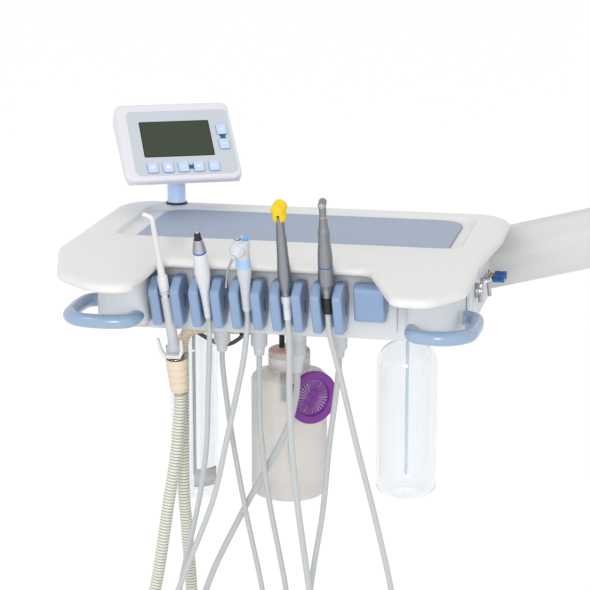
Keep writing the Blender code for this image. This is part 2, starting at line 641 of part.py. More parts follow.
def build_slotted_disc(head):
    """The round slotted holder on the coolant bottle's side, facing out from the bottle's axis."""
    x, y, radius = BOTTLES["bottle_coolant"][:3]
    pivot = bpy.data.objects["bottle_coolant_axis"]
    heading = Vector((math.sin(DISC_HEADING), -math.cos(DISC_HEADING), 0))
    frame = empty("disc_frame", heading * (radius + 0.013) + Vector((0, 0, DISC_Z)), pivot,
                  aimed(heading, (math.cos(DISC_HEADING), math.sin(DISC_HEADING), 0)))
    disc = turned([(0, 0.001), (0.026, 0.001), (0.029, 0.004), (0.0375, 0.004), (0.0395, 0.002),
                   (0.0395, -0.003), (0.0375, -0.004), (0.007, -0.004), (0.007, -0.0118), (0, -0.0118)], 24)
    keep(disc, "slotted_disc", "purple", frame)


# ---------------------------------------------------------------- the console
def console_frame(head):
    """The tilt axis: X to the console's right, Y up its face, Z out of its face."""
    heading = Vector((math.sin(CONSOLE_YAW), -math.cos(CONSOLE_YAW), 0))
    right = Vector((math.cos(CONSOLE_YAW), math.sin(CONSOLE_YAW), 0))
    outward = math.cos(CONSOLE_TILT) * heading + math.sin(CONSOLE_TILT) * Vector((0, 0, 1))
    turn = aimed(outward, right)
    yaw = Matrix.Rotation(CONSOLE_YAW, 3, "Z")
    swivel = empty("console_swivel_axis", (*POST_AT, 0), head, yaw)
    tilt = empty("console_tilt_axis", (0, 0, TILT_AXIS_Z), swivel, yaw.inverted() @ turn)
    return swivel, tilt


def key_places():
    places = {name: (KEY_ROW[0] + number * KEY_PITCH, KEY_ROW[1]) for number, name in enumerate(ROW_KEYS)}
    places.update({name: (KEY_COLUMN_X, y) for name, y in COLUMN_KEYS.items()})
    return places


def build_console(head):
    swivel, tilt = console_frame(head)
    post = rod((0, 0, -TRAY_THICKNESS), (0, 0, 0.047), POST_RADIUS, sides=20)
    join(post, rod((0, 0, GAP), (0, 0, 0.009), POST_RADIUS + 0.0025, sides=20),
         block((-0.009, -0.010, 0.040), (0.009, 0.010, TILT_AXIS_Z)),
         rod((-0.009, 0, TILT_AXIS_Z), (0.009, 0, TILT_AXIS_Z), 0.010, sides=16),
         rod((-0.019, 0, TILT_AXIS_Z), (0.019, 0, TILT_AXIS_Z), 0.004, sides=12))
    keep(post, "console_post", "post_blue", swivel)

    front = slab(rounded([(-FACE_HALF_WIDTH, FACE_LOW, 0.018), (FACE_HALF_WIDTH, FACE_LOW, 0.018),
                          (FACE_HALF_WIDTH, FACE_HIGH, 0.013), (-FACE_HALF_WIDTH, FACE_HIGH, 0.013)], 4), -0.01, 0.06)
    side = side_slab(rounded([(FACE_LOW - 0.001, SPLIT_LOW, 0), (FACE_LOW - 0.001, FACE_OUT, 0.005),
                              (FACE_HIGH + 0.001, FACE_OUT, 0.013), (FACE_HIGH + 0.001, SPLIT_HIGH, 0)], 5), -0.1, 0.1)
    boolean(front, side, "INTERSECT")
    screen_x, screen_y = SCREEN_AT
    half_x, half_y = SCREEN_HALF
    cut(front, block((screen_x - half_x, screen_y - half_y, FACE_OUT - 0.0020),
                     (screen_x + half_x, screen_y + half_y, FACE_OUT + 0.01)))
    room = [half + 0.0005 for half in KEY_HALF]
    for x, y in key_places().values():
        cut(front, block((x - room[0], y - room[1], FACE_OUT - KEY_FLOOR),
                         (x + room[0], y + room[1], FACE_OUT + 0.01)))
    keep(front, "console_front", "white_plastic", tilt)

    screen = block(
        (screen_x - half_x + GAP, screen_y - half_y + GAP, FACE_OUT - 0.0020 + GAP),
        (screen_x + half_x - GAP, screen_y + half_y - GAP, FACE_OUT - 0.0005))
    keep(screen, "console_screen", "screen_olive", tilt)

    low, high = FACE_LOW + 0.004, FACE_HIGH - 0.003
    slope = (SPLIT_HIGH - SPLIT_LOW) / (FACE_HIGH - FACE_LOW + 0.002)
    meets = [SPLIT_LOW + slope * (v - FACE_LOW + 0.001) - 2 * GAP for v in (low, high)]
    back = side_slab(rounded([(low, meets[0], 0), (high, meets[1], 0), (high, meets[1] - 0.016, 0.010),
                              (low, meets[0] - 0.003, 0)], 4), -FACE_HALF_WIDTH + 0.003, FACE_HALF_WIDTH - 0.003)
    bevel(back, 0.004, 1)
    for low, high in ((-0.0165, -0.0095), (0.0095, 0.0165)):
        lug = rod((low, 0, 0), (high, 0, 0), 0.009, sides=14)
        join(back, lug, block((low, -0.008, 0), (high, 0.008, 0.017)))
    cut(back, block((-0.0093, -0.016, -0.03), (0.0093, 0.016, 0.0125)),
        rod((-0.03, 0, 0), (0.03, 0, 0), 0.004 + GAP, sides=12))
    keep(back, "console_back", "post_blue", tilt)

    for name, (x, y) in key_places().items():
        low = FACE_OUT - KEY_FLOOR + 0.0008
        half_x, half_y = KEY_HALF
        key = block((x - half_x, y - half_y, low), (x + half_x, y + half_y, FACE_OUT + 0.0012))
        keep(bevel(key, 0.0004, 1), name, "key_blue", tilt)


# ---------------------------------------------------------------- the instruments
def instrument_frame(head, name):
    """An instrument's own frame: its origin is where its axis crosses the slot and Z runs to the tip."""
    index = list(TIP_DIRECTIONS).index(name)
    return empty(f"{name}_axis", slot_place(index), head, aimed(TIP_DIRECTIONS[name]))


def build_suction(head):
    frame = instrument_frame(head, "suction")
    handle = turned([(0, 0.026), (0.0070, 0.026), (0.0075, 0.022), (0.0071, -0.020), (0.0076, -0.060),
                     (0.0084, -0.076), (0.0125, -0.084), (0.0130, -0.100), (0, -0.100)], 18)
    keep(handle, "suction_handle", "panel_white", frame)
    tip = [(0, 0, 0.140), (0, 0, 0.148), (-0.0014, 0, 0.1530), (-0.0055, 0, 0.1560), (-0.0120, 0, 0.1585)]
    tip_shape = solid_from_curve(tube(smooth_route(tip, 12), 0.0033, 2))
    collar = turned([(0, 0.1470), (0.0034, 0.1470), (0.0054, 0.0520), (0.0074, 0.0490), (0.0074, 0.0263), (0, 0.0263)], 18)
    keep(join(tip_shape, collar), "suction_tip", "white_plastic", frame)

    pivot = empty("suction_lever_axis", (0, 0, -0.068), frame)
    lever = face_slab(
        rounded([(-0.0175, -0.0050, 0.003), (-0.0125, -0.0195, 0.005), (0.0125, -0.0195, 0.005),
                 (0.0175, -0.0050, 0.003), (0.0185, 0.0150, 0.0012), (0.0150, 0.0150, 0.0012),
                 (0.0135, -0.0040, 0.002), (0.0095, -0.0140, 0.002), (-0.0095, -0.0140, 0.002),
                 (-0.0135, -0.0040, 0.002), (-0.0150, 0.0150, 0.0012), (-0.0185, 0.0150, 0.0012)], 2),
        -0.0185, -0.0135)
    keep(lever, "suction_lever", "white_plastic", pivot)

    cuff_frame = empty("suction_cuff_axis", CUFF_START, head, aimed(CUFF_START - CUFF_END))
    length = (CUFF_END - CUFF_START).length
    cuff = turned([(0, -0.0016), (0.0140, -0.0016), (0.0162, 0.0030), (0.0158, -0.0100), (0.0138, -0.0420),
                   (0.0118, -length), (0, -length)], 18)
    return cuff_frame, cuff


def build_scaler(head):
    frame = instrument_frame(head, "scaler")
    body = turned([(0, 0.136), (0.0009, 0.136), (0.0012, 0.1285), (0.0030, 0.1275), (0.0046, 0.1235),
                   (0.0048, 0.1165), (0.0062, 0.1155), (0.0094, 0.0965), (0.0098, 0.0900), (0.0108, 0.0680),
                   (0.0108, 0.0540), (0.0090, 0.0420), (0.0075, 0.0320), (0.0062, 0.0130), (0.0055, -0.0020),
                   (0.0050, TAIL_ENDS["scaler"]), (0, TAIL_ENDS["scaler"])], 18)
    keep(body, "scaler_handpiece", "white_plastic", frame)


def build_syringe(head):
    frame = instrument_frame(head, "syringe")
    body = turned([(0, 0.1180), (0.0103, 0.1180), (0.0109, 0.1145), (0.0104, 0.1040), (0.0096, 0.0930),
                   (0.0100, 0.0900), (0.0103, 0.0620), (0.0090, 0.0520), (0.0071, 0.0410), (0.0068, 0.0100),
                   (0.0062, TAIL_ENDS["syringe"]), (0, TAIL_ENDS["syringe"])], 18)
    ball = turned([(BALL_RADIUS * math.sin(step * math.pi / 8), BALL_RADIUS * math.cos(step * math.pi / 8))
                   for step in range(9)], 16)
    ball.location = BALL_AT
    join(body, ball)
    for x in BUTTON_X.values():
        cut(body, rod((x, 0, 0.1140), (x, 0, 0.1260), BUTTON_RADIUS + GAP, sides=16))
    keep(body, "syringe_body", "white_plastic", frame)
    nozzle = [(-0.0073, -0.0178, 0.1025), (-0.0086, -0.0204, 0.1008), (-0.0118, -0.0200, 0.0940),
              (-0.0158, -0.0180, 0.0830), (-0.0188, -0.0170, 0.0740), (-0.0230, -0.0160, 0.0460)]
    axis = empty("nozzle_axis", (0, 0, 0), frame)
    keep(tube(smooth_route(nozzle, 14), 0.0017, 2), "syringe_nozzle", "brushed_metal", axis)
    for name, x in BUTTON_X.items():
        button = rod((x, 0, 0.1155), (x, 0, 0.1218), BUTTON_RADIUS, sides=16)
        keep(button, name, "holder_blue" if "water" in name else "brushed_metal", frame)


def build_turbine(head):
    frame = instrument_frame(head, "turbine")
    grip = turned([(0, 0.1375), (0.0056, 0.1375), (0.0060, 0.1280), (0.0072, 0.1080), (0.0078, 0.0850),
                   (0.0089, 0.0660), (0.0091, 0.0520), (0.0076, 0.0400), (0.0074, 0.0120), (0.0060, 0.0110),
                   (0.0056, TAIL_ENDS["turbine"]), (0, TAIL_ENDS["turbine"])], 18)
    keep(grip, "turbine_handpiece", "brushed_metal", frame)
    cap = turned([(0, 0.1660), (0.0050, 0.1650), (0.0085, 0.1620), (0.0102, 0.1560), (0.0104, 0.1440),
                  (0.0094, 0.1378), (0, 0.1378)], 20)
    keep(cap, "turbine_cap", "cap_yellow", frame)


def build_motor(head):
    frame = instrument_frame(head, "motor")
    motor = turned([(0, 0.0228), (0.0076, 0.0228), (0.0080, 0.0205), (0.0076, 0.0120), (0.0058, TAIL_ENDS["motor"]),
                    (0, TAIL_ENDS["motor"])], 18)
    keep(motor, "micromotor", "dark_rubber", frame)
    shank = turned([(0, 0.1560), (0.0046, 0.1560), (0.0053, 0.1420), (0.0076, 0.1150), (0.0100, 0.0900),
                    (0.0104, 0.0720), (0.0110, 0.0580), (0.0106, 0.0440), (0.0079, 0.0375), (0.0079, 0.0231),
                    (0, 0.0231)], 18)
    head_piece = rod((0, 0.0075, 0.1640), (0, -0.0070, 0.1595), 0.0056, sides=18)
    keep(join(shank, head_piece), "contra_angle", "brushed_metal", frame)


def hose_ends(name):
    """The hose's two end faces, each with the direction in which the hose leaves it."""
    if name == "suction":
        down = Vector((0, 0, -1))
        return (CUFF_END, (CUFF_END - CUFF_START).normalized()), (PIPE_END + 2 * GAP * down, down)
    away = -Vector(TIP_DIRECTIONS[name]).normalized()
    tail = slot_place(list(TIP_DIRECTIONS).index(name)) - away * TAIL_ENDS[name]
    gland = Vector((GLAND_X[name], GLAND_Y, BODY_BOTTOM - GAP - 0.0005 - GLAND_DEPTH[name]))
    return (tail, away), (gland, Vector((0, 0, -1)))


def build_hoses(head):
    cuff_frame, cuff = build_suction(head)
    keep(cuff, "suction_cuff", "cuff_cream", cuff_frame)
    for name, middle in HOSE_ROUTES.items():
        (start, away), (end, down) = hose_ends(name)
        route = [start + GAP * away, start + STRAIGHT * away, *middle, end + STRAIGHT * down, end + GAP * down]
        hose = tube(smooth_route(route, HOSE_POINTS[name]), HOSE_RADII[name], 2)
        keep(hose, f"hose_{name}", "hose_cream" if name == "suction" else "hose_grey", head)


# ---------------------------------------------------------------- the balanced arm
def knuckle(frame, side):
    """Cheeks outside the links, a block beyond the pivots and both pivot pins. side is +1 towards +X."""
    inner = ARM_HALF_WIDTH + 0.001
    outer = inner + CHEEK_THICKNESS
    near, far = 0.046, 0.094
    piece = block((side * near, -outer, -0.074), (side * far, outer, 0.038)) if side > 0 else block(
        (-far, -outer, -0.074), (-near, outer, 0.038))
    outline = rounded([(-side * 0.022, -0.058, 0.014), (side * 0.060, -0.074, 0), (side * 0.060, 0.038, 0),
                       (side * 0.010, 0.038, 0.010), (-side * 0.022, 0.016, 0.014)], 4)
    for low, high in ((-outer, -inner), (inner, outer)):
        join(piece, face_slab(outline, low, high))
    join(piece, rod((0, -outer - 0.003, 0), (0, outer + 0.003, 0), PIN_RADIUS, sides=14),
         rod((0, -outer - 0.002, -LINK_DROP), (0, outer + 0.002, -LINK_DROP), SMALL_PIN_RADIUS, sides=10))
    return piece


def build_arm(head):
    base = empty("arm_base_frame", HEAD_AT + REAR_PIVOT, None)
    swing = empty("arm_swing_axis", Vector((SWING_OFFSET, 0, 0)), base)
    lift = empty("arm_lift_axis", Vector((0, 0, 0)), base, Matrix.Rotation(math.pi - ARM_SLOPE, 3, "Y"))

    bracket = block((FLANGE_REACH - FLANGE_THICKNESS, -0.070, -0.103), (FLANGE_REACH, 0.070, 0.067))
    for low, high in ((0.0393, 0.0520), (-0.0880, -0.0753)):
        lug = slab(rounded([(SWING_OFFSET - 0.024, -0.024, 0.020), (FLANGE_REACH - 0.005, -0.024, 0),
                            (FLANGE_REACH - 0.005, 0.024, 0), (SWING_OFFSET - 0.024, 0.024, 0.020)], 4), low, high)
        join(bracket, lug)
    join(bracket, rod((SWING_OFFSET, 0, -0.091), (SWING_OFFSET, 0, 0.055), 0.010, sides=20))
    for y in (-0.052, 0.052):
        for z in (-0.085, 0.049):
            join(bracket, rod((FLANGE_REACH - FLANGE_THICKNESS - 0.005, y, z),
                              (FLANGE_REACH - FLANGE_THICKNESS + 0.001, y, z), 0.0075, sides=6))
    keep(bracket, "arm_bracket", "white_plastic", base)

    rear = knuckle(base, 1)
    cut(rear, rod((SWING_OFFSET, 0, -0.1), (SWING_OFFSET, 0, 0.1), 0.010 + GAP, sides=20))
    rear.location = -swing.location
    keep(rear, "rear_knuckle", "white_plastic", swing)

    # upper link: the arm's cover, in a frame whose X runs down the arm to the head
    cover = side_slab(
        rounded([(-0.032, 0.031, 0.003), (0.032, 0.031, 0.003), (0.032, -0.004, 0.004), (0.016, -0.036, 0.006),
                 (-0.016, -0.036, 0.006), (-0.032, -0.004, 0.004)], 3),
        -ARM_END, ARM_LENGTH + ARM_END)
    for y in (-0.032, 0.0290):
        join(cover, block((SKIRT_FROM_PIVOT, y, 0.020), (ARM_LENGTH - SKIRT_FROM_PIVOT, y + 0.003, 0.0475)))
    cut(cover, *(rod((x, -0.06, 0), (x, 0.06, 0), PIN_RADIUS + GAP, sides=14) for x in (0, ARM_LENGTH)))
    keep(cover, "arm_cover", "white_plastic", lift)

    low_pivot = empty("lower_link_axis", (0, 0, -LINK_DROP), base, Matrix.Rotation(math.pi - ARM_SLOPE, 3, "Y"))
    link = block((-0.012, -0.026, -0.0048), (ARM_LENGTH + 0.012, 0.026, 0.0045))
    cut(link, *(rod((x, -0.06, 0), (x, 0.06, 0), SMALL_PIN_RADIUS + GAP, sides=10) for x in (0, ARM_LENGTH)))
    keep(link, "arm_lower_link", "white_plastic", low_pivot)

    front_frame = empty("arm_level_axis", FRONT_PIVOT, head)
    front = knuckle(front_frame, -1)
    join(front, rod((-SWING_OFFSET, 0, 0.030), (-SWING_OFFSET, 0, 0.090), 0.010, sides=20))
    keep(front, "front_knuckle", "white_plastic", front_frame)


clear_scene()
PARTS = new_collection("delivery_head")
CUTTERS = new_collection("cutters", is_helper=True)
head_frame = empty("head_frame", HEAD_AT)
build_tray(head_frame)
build_body(head_frame)
build_handles(head_frame)
build_holders(head_frame)
build_side_fittings(head_frame)
build_underside(head_frame)
build_bottles(head_frame)
build_slotted_disc(head_frame)
build_console(head_frame)
build_scaler(head_frame)
build_syringe(head_frame)
build_turbine(head_frame)
build_motor(head_frame)
build_hoses(head_frame)
build_arm(head_frame)
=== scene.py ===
"""Dental delivery head with a motor console, five instruments on hoses and its balanced arm.

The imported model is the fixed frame. Each piece below is placed in the same world. Lengths are in millimetres,
and make(), moved() and aimed() turn them into Blender's metres. The head has its own frame: x = 0 on the
tray's middle line and z = 0 on the tray's rim.
"""
import math

import bmesh
import bpy
from mathutils import Matrix, Vector


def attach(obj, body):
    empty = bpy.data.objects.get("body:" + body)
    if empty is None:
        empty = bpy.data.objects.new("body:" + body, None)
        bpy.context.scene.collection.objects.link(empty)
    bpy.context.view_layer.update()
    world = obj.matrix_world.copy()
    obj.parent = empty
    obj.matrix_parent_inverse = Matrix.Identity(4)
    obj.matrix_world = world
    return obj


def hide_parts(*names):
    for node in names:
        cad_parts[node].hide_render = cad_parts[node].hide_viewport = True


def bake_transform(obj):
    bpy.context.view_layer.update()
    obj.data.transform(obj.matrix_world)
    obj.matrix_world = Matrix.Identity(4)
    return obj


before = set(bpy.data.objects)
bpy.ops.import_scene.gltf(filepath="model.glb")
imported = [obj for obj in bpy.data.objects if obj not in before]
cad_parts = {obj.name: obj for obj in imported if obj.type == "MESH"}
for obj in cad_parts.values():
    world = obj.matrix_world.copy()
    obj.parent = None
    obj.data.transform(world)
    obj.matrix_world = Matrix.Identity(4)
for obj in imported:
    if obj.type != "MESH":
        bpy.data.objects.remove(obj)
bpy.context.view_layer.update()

MM = 0.001
ARM_SLOPE = math.radians(14.6)
ARM_LENGTH = 500
REAR_PIVOT = Vector((-132, 0, 18))
FRONT_PIVOT = REAR_PIVOT - ARM_LENGTH * Vector((math.cos(ARM_SLOPE), 0, math.sin(ARM_SLOPE)))
HEAD = FRONT_PIVOT - Vector((100, 285, -115))
BODY_BOTTOM = -112
BODY_TOP = -14.3
GAP = 0.3


# ---------------------------------------------------------------- camera, light and floor
def build_stage():
    camera = bpy.data.cameras.new("camera")
    camera.sensor_width = 36
    camera.lens = 140.34
    camera.clip_end = 60
    head = MM * HEAD
    eye = head + Vector((0.6515, -3.1691, 0.7175))
    target = head + Vector((0.0085, 0, -0.0827))
    holder = bpy.data.objects.new("camera", camera)
    bpy.context.scene.collection.objects.link(holder)
    holder.location = eye
    holder.rotation_euler = (target - eye).to_track_quat("-Z", "Y").to_euler()
    bpy.context.scene.camera = holder

    world = bpy.data.worlds.new("studio")
    world.use_nodes = True
    sky = world.node_tree.nodes["Background"]
    sky.inputs["Color"].default_value = (1.0, 1.0, 1.0, 1)
    sky.inputs["Strength"].default_value = 1.07
    bpy.context.scene.world = world
    bpy.context.scene.view_settings.view_transform = "Standard"

    for name, place, size, power in (
            ("key", (-1.9, -2.2, 2.4), 1.0, 12),
            ("fill", (2.2, -2.4, 1.2), 1.6, 4),
            ("front", (0.25, -2.5, 0.50), 0.8, 26)):
        light = bpy.data.lights.new(name, "AREA")
        light.shape = "DISK"
        light.size = size
        light.energy = power
        lamp = bpy.data.objects.new(name, light)
        bpy.context.scene.collection.objects.link(lamp)
        lamp.location = head + Vector(place)
        lamp.rotation_euler = (-Vector(place)).to_track_quat("-Z", "Y").to_euler()

    mesh = bpy.data.meshes.new("floor")
    reach, drop = 30, -1.05
    corners = [(-reach, -reach), (reach, -reach), (reach, reach), (-reach, reach)]
    mesh.from_pydata([(x, y, drop) for x, y in corners], [], [(0, 1, 2, 3)])
    floor = bpy.data.objects.new("floor", mesh)
    bpy.context.scene.collection.objects.link(floor)
    pale = bpy.data.materials.new("floor")
    pale.use_nodes = True
    shader = pale.node_tree.nodes["Principled BSDF"]
    shader.inputs["Base Color"].default_value = (0.93, 0.93, 0.93, 1)
    shader.inputs["Roughness"].default_value = 0.9
    mesh.materials.append(pale)


# ---------------------------------------------------------------- materials
def linear(colour):
    return [c / 12.92 if c <= 0.04045 else ((c + 0.055) / 1.055) ** 2.4 for c in colour]


M = {}


def finish(name, colour, rough=0.4, metal=0, vary=0.03, scale=30, bump=0.04, grain=900, stretch=(1, 1, 1),
           coat=0, transmission=0, ior=1.46, subsurface=0, sheen=0, specular=0.5):
    """Adds a procedural finish to M: a coarse noise clouds its colour, a fine one gives it relief."""
    M[name] = result = bpy.data.materials.new(name)
    result.use_nodes = True
    tree = result.node_tree
    shader = tree.nodes["Principled BSDF"]
    for socket, value in {"Metallic": metal, "IOR": ior, "Coat Weight": coat, "Sheen Weight": sheen,
                          "Transmission Weight": transmission, "Specular IOR Level": specular,
                          "Subsurface Weight": subsurface, "Subsurface Radius": (0.004, 0.004, 0.004)}.items():
        shader.inputs[socket].default_value = value

    place = tree.nodes.new("ShaderNodeTexCoord")
    stretched = tree.nodes.new("ShaderNodeMapping")
    stretched.inputs["Scale"].default_value = stretch
    tree.links.new(place.outputs["Object"], stretched.inputs["Vector"])
    clouds = tree.nodes.new("ShaderNodeTexNoise")
    clouds.inputs["Scale"].default_value = scale
    clouds.inputs["Detail"].default_value = 4
    tree.links.new(stretched.outputs["Vector"], clouds.inputs["Vector"])

    tint = tree.nodes.new("ShaderNodeMix")
    tint.data_type = "RGBA"
    base = linear(colour)
    tint.inputs["A"].default_value = (*[c * (1 - vary) for c in base], 1)
    tint.inputs["B"].default_value = (*[min(1, c * (1 + vary)) for c in base], 1)
    tree.links.new(clouds.outputs["Fac"], tint.inputs["Factor"])
    tree.links.new(tint.outputs["Result"], shader.inputs["Base Color"])

    dull = tree.nodes.new("ShaderNodeMapRange")
    dull.inputs["To Min"].default_value = rough * 0.88
    dull.inputs["To Max"].default_value = min(1, rough * 1.12)
    tree.links.new(clouds.outputs["Fac"], dull.inputs["Value"])
    tree.links.new(dull.outputs["Result"], shader.inputs["Roughness"])

    fine = tree.nodes.new("ShaderNodeTexNoise")
    fine.inputs["Scale"].default_value = grain
    fine.inputs["Detail"].default_value = 2
    tree.links.new(stretched.outputs["Vector"], fine.inputs["Vector"])
    relief = tree.nodes.new("ShaderNodeBump")
    relief.inputs["Strength"].default_value = bump
    relief.inputs["Distance"].default_value = 0.0004
    tree.links.new(fine.outputs["Fac"], relief.inputs["Height"])
    tree.links.new(relief.outputs["Normal"], shader.inputs["Normal"])


finish("white", (0.79, 0.79, 0.785), 0.4, vary=0.012, bump=0.1, coat=0.15)
finish("panel", (0.76, 0.775, 0.79), 0.4, vary=0.012, bump=0.1)
finish("arm", (0.74, 0.74, 0.74), 0.42, vary=0.012, bump=0.1)
finish("metal_white", (0.84, 0.84, 0.84), 0.45, vary=0.02, bump=0.25, grain=1600)
finish("blue", (0.47, 0.56, 0.68), 0.36, bump=0.1, coat=0.1)
finish("handle", (0.515, 0.6, 0.7), 0.28, vary=0.02, coat=0.35)
finish("mat", (0.5, 0.56, 0.645), 0.62, vary=0.02, bump=0.22, grain=1300, sheen=0.15)
finish("post", (0.72, 0.8, 0.92), 0.32, vary=0.02, bump=0.05, coat=0.2)
finish("shell", (0.8, 0.8, 0.825), 0.42, vary=0.012, bump=0.14, grain=1400)
finish("overlay", (0.7, 0.725, 0.75), 0.5, vary=0.01, bump=0.1, grain=1800)
finish("lcd", (0.2, 0.235, 0.185), 0.3, vary=0.05, scale=8, bump=0.01, specular=0.22)
finish("lcd_edge", (0.1, 0.12, 0.1), 0.45, vary=0.04, specular=0.2)
finish("key", (0.7, 0.765, 0.85), 0.48, vary=0.015, bump=0.08)
finish("key_line", (0.52, 0.61, 0.73), 0.5, vary=0.02)
finish("key_mark", (0.88, 0.9, 0.93), 0.5, vary=0.01)
finish("navy", (0.09, 0.29, 0.48), 0.45, vary=0.04)
finish("steel", (0.66, 0.67, 0.69), 0.32, 1.0, vary=0.08, scale=60, bump=0.1, grain=300,
       stretch=(1, 1, 12))
finish("instrument", (0.52, 0.53, 0.545), 0.36, 0.85, vary=0.06, scale=50, bump=0.08, grain=500,
       stretch=(1, 1, 8))
finish("groove", (0.22, 0.23, 0.24), 0.5, 0.6, vary=0.05)
finish("chrome", (0.82, 0.82, 0.83), 0.12, 1.0, bump=0.02)
finish("hose", (0.66, 0.67, 0.675), 0.38, scale=60, bump=0.1, sheen=0.1)
finish("cream_hose", (0.8, 0.8, 0.755), 0.42, scale=40, bump=0.06, subsurface=0.1)
finish("cream", (0.8, 0.75, 0.66), 0.45, vary=0.02, bump=0.06, coat=0.1)
finish("grey_plastic", (0.72, 0.735, 0.75), 0.42, bump=0.08)
finish("light_grey", (0.71, 0.72, 0.735), 0.38, vary=0.02, bump=0.06)
finish("tube_pale", (0.86, 0.91, 0.95), 0.3, vary=0.01, transmission=0.5, ior=1.1)
# painted shade: a darker cream for the narrow grooves between the suction hose's ribs
finish("hose_groove_shade", (0.6, 0.605, 0.56), 0.5)
finish("slate", (0.46, 0.54, 0.61), 0.45, vary=0.05, bump=0.06)
finish("band_blue", (0.58, 0.7, 0.83), 0.4, vary=0.02)
finish("ring_blue", (0.13, 0.33, 0.62), 0.35, vary=0.04)
finish("button_blue", (0.3, 0.6, 0.86), 0.35)
finish("purple", (0.43, 0.17, 0.52), 0.46, vary=0.05, bump=0.12)
finish("slot_light", (0.8, 0.76, 0.8), 0.6, vary=0.05)
finish("yellow", (0.83, 0.7, 0.008), 0.48, bump=0.1)
finish("navy_knob", (0.17, 0.36, 0.6), 0.4, 0.2, vary=0.06, bump=0.1)
finish("brass", (0.78, 0.64, 0.36), 0.3, 1.0, vary=0.06, bump=0.05)
finish("black", (0.085, 0.085, 0.09), 0.5, vary=0.08, bump=0.15)
finish("dark", (0.25, 0.26, 0.28), 0.45, vary=0.05, bump=0.08)
finish("pink_cap", (0.83, 0.66, 0.64), 0.42, transmission=0.15, bump=0.05)
finish("cap_skirt", (0.92, 0.9, 0.89), 0.4, vary=0.02, transmission=0.5)
finish("clear", (0.970, 0.978, 0.986), 0.05, vary=0.002, transmission=0.98, ior=1.15, bump=0.0, coat=0.7)
finish("milky", (0.945, 0.935, 0.925), 0.3, vary=0.01, transmission=0.72, ior=1.2,
       subsurface=0.1)
finish("label", (0.7, 0.7, 0.7), 0.5, vary=0.06, scale=200)


# ---------------------------------------------------------------- shapes
def make(name, verts, faces, materials=("white",), indices=None, smooth=40):
    mesh = bpy.data.meshes.new(name)
    mesh.from_pydata([MM * Vector(v) for v in verts], [], faces)
    work = bmesh.new()
    work.from_mesh(mesh)
    bmesh.ops.recalc_face_normals(work, faces=work.faces)
    work.to_mesh(mesh)
    work.free()
    for key in materials:
        mesh.materials.append(M[key])
    if indices:
        mesh.polygons.foreach_set("material_index", indices)
    return shown(mesh, smooth)


def shown(mesh, smooth):
    """An object of this mesh, shaded smooth up to an angle."""
    mesh.polygons.foreach_set("use_smooth", [True] * len(mesh.polygons))
    mesh.set_sharp_from_angle(angle=math.radians(smooth))
    obj = bpy.data.objects.new(mesh.name, mesh)
    bpy.context.scene.collection.objects.link(obj)
    return obj


def soften(obj, width, segments, angle):
    edge = obj.modifiers.new("edge", "BEVEL")
    edge.width = MM * width
    edge.segments = segments
    edge.limit_method = "ANGLE"
    edge.angle_limit = math.radians(angle)


def put(obj, body, replaces=(), place=None):
    """Moves a finished piece into the world, hangs it on its body and hides the CAD parts it replaces."""
    if place is not None:
        obj.matrix_world = place
    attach(obj, body)
    if replaces:
        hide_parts(*replaces)
    return obj


def merged(name, pieces):
    """One object from several, keeping their materials."""
    bpy.ops.object.select_all(action="DESELECT")
    for piece in pieces:
        piece.select_set(True)
    bpy.context.view_layer.objects.active = pieces[0]
    bpy.ops.object.convert(target="MESH")
    bpy.ops.object.join()
    pieces[0].name = name
    return pieces[0]


def moved(place):
    return Matrix.Translation(MM * Vector(place))


def turned(angle, axis):
    return Matrix.Rotation(angle, 4, axis)


def aimed(origin, direction, across=(1, 0, 0)):
    z = Vector(direction).normalized()
    y = z.cross(Vector(across)).normalized()
    turn = Matrix((y.cross(z), y, z)).transposed().to_4x4()
    return moved(origin) @ turn


def rounded(corners, steps=8):
    """An outline whose corners (x, y, radius) are rounded with arcs."""
    outline = []
    for index, (x, y, radius) in enumerate(corners):
        here = Vector((x, y))
        before = (Vector(corners[index - 1][:2]) - here).normalized()
        after = (Vector(corners[(index + 1) % len(corners)][:2]) - here).normalized()
        if radius == 0:
            outline.append((x, y))
            continue
        half = before.angle(after) / 2
        centre = here + (before + after).normalized() * (radius / math.sin(half))
        first = here + before * (radius / math.tan(half)) - centre
        last = here + after * (radius / math.tan(half)) - centre
        sweep = first.angle_signed(last)
        for step in range(steps + 1):
            spoke = first.copy()
            spoke.rotate(Matrix.Rotation(-sweep * step / steps, 2))
            outline.append(tuple(centre + spoke))
    return outline


def rectangle(left, right, low, high, radius):
    return [(left, low, radius), (right, low, radius), (right, high, radius), (left, high, radius)]


def slab(name, outline, low, high, bevel=0.0, segments=3, material="white", plane="xy"):
    """An extruded outline with rounded edges. plane says which two axes the outline runs in."""
    count = len(outline)
    order = {"xy": lambda a, b, c: (a, b, c), "yz": lambda a, b, c: (c, a, b),
             "xz": lambda a, b, c: (a, c, b)}[plane]
    verts = [order(x, y, low) for x, y in outline] + [order(x, y, high) for x, y in outline]
    faces = [tuple(range(count)), tuple(range(2 * count - 1, count - 1, -1))]
    faces += [(i, (i + 1) % count, count + (i + 1) % count, count + i) for i in range(count)]
    obj = make(name, verts, faces, (material,), smooth=50)
    if bevel:
        soften(obj, bevel, segments, 50)
    return obj


def box(name, low, high, bevel=0.8, material="white"):
    return slab(name, [(low[0], low[1]), (high[0], low[1]), (high[0], high[1]), (low[0], high[1])],
                low[2], high[2], bevel, 2, material)


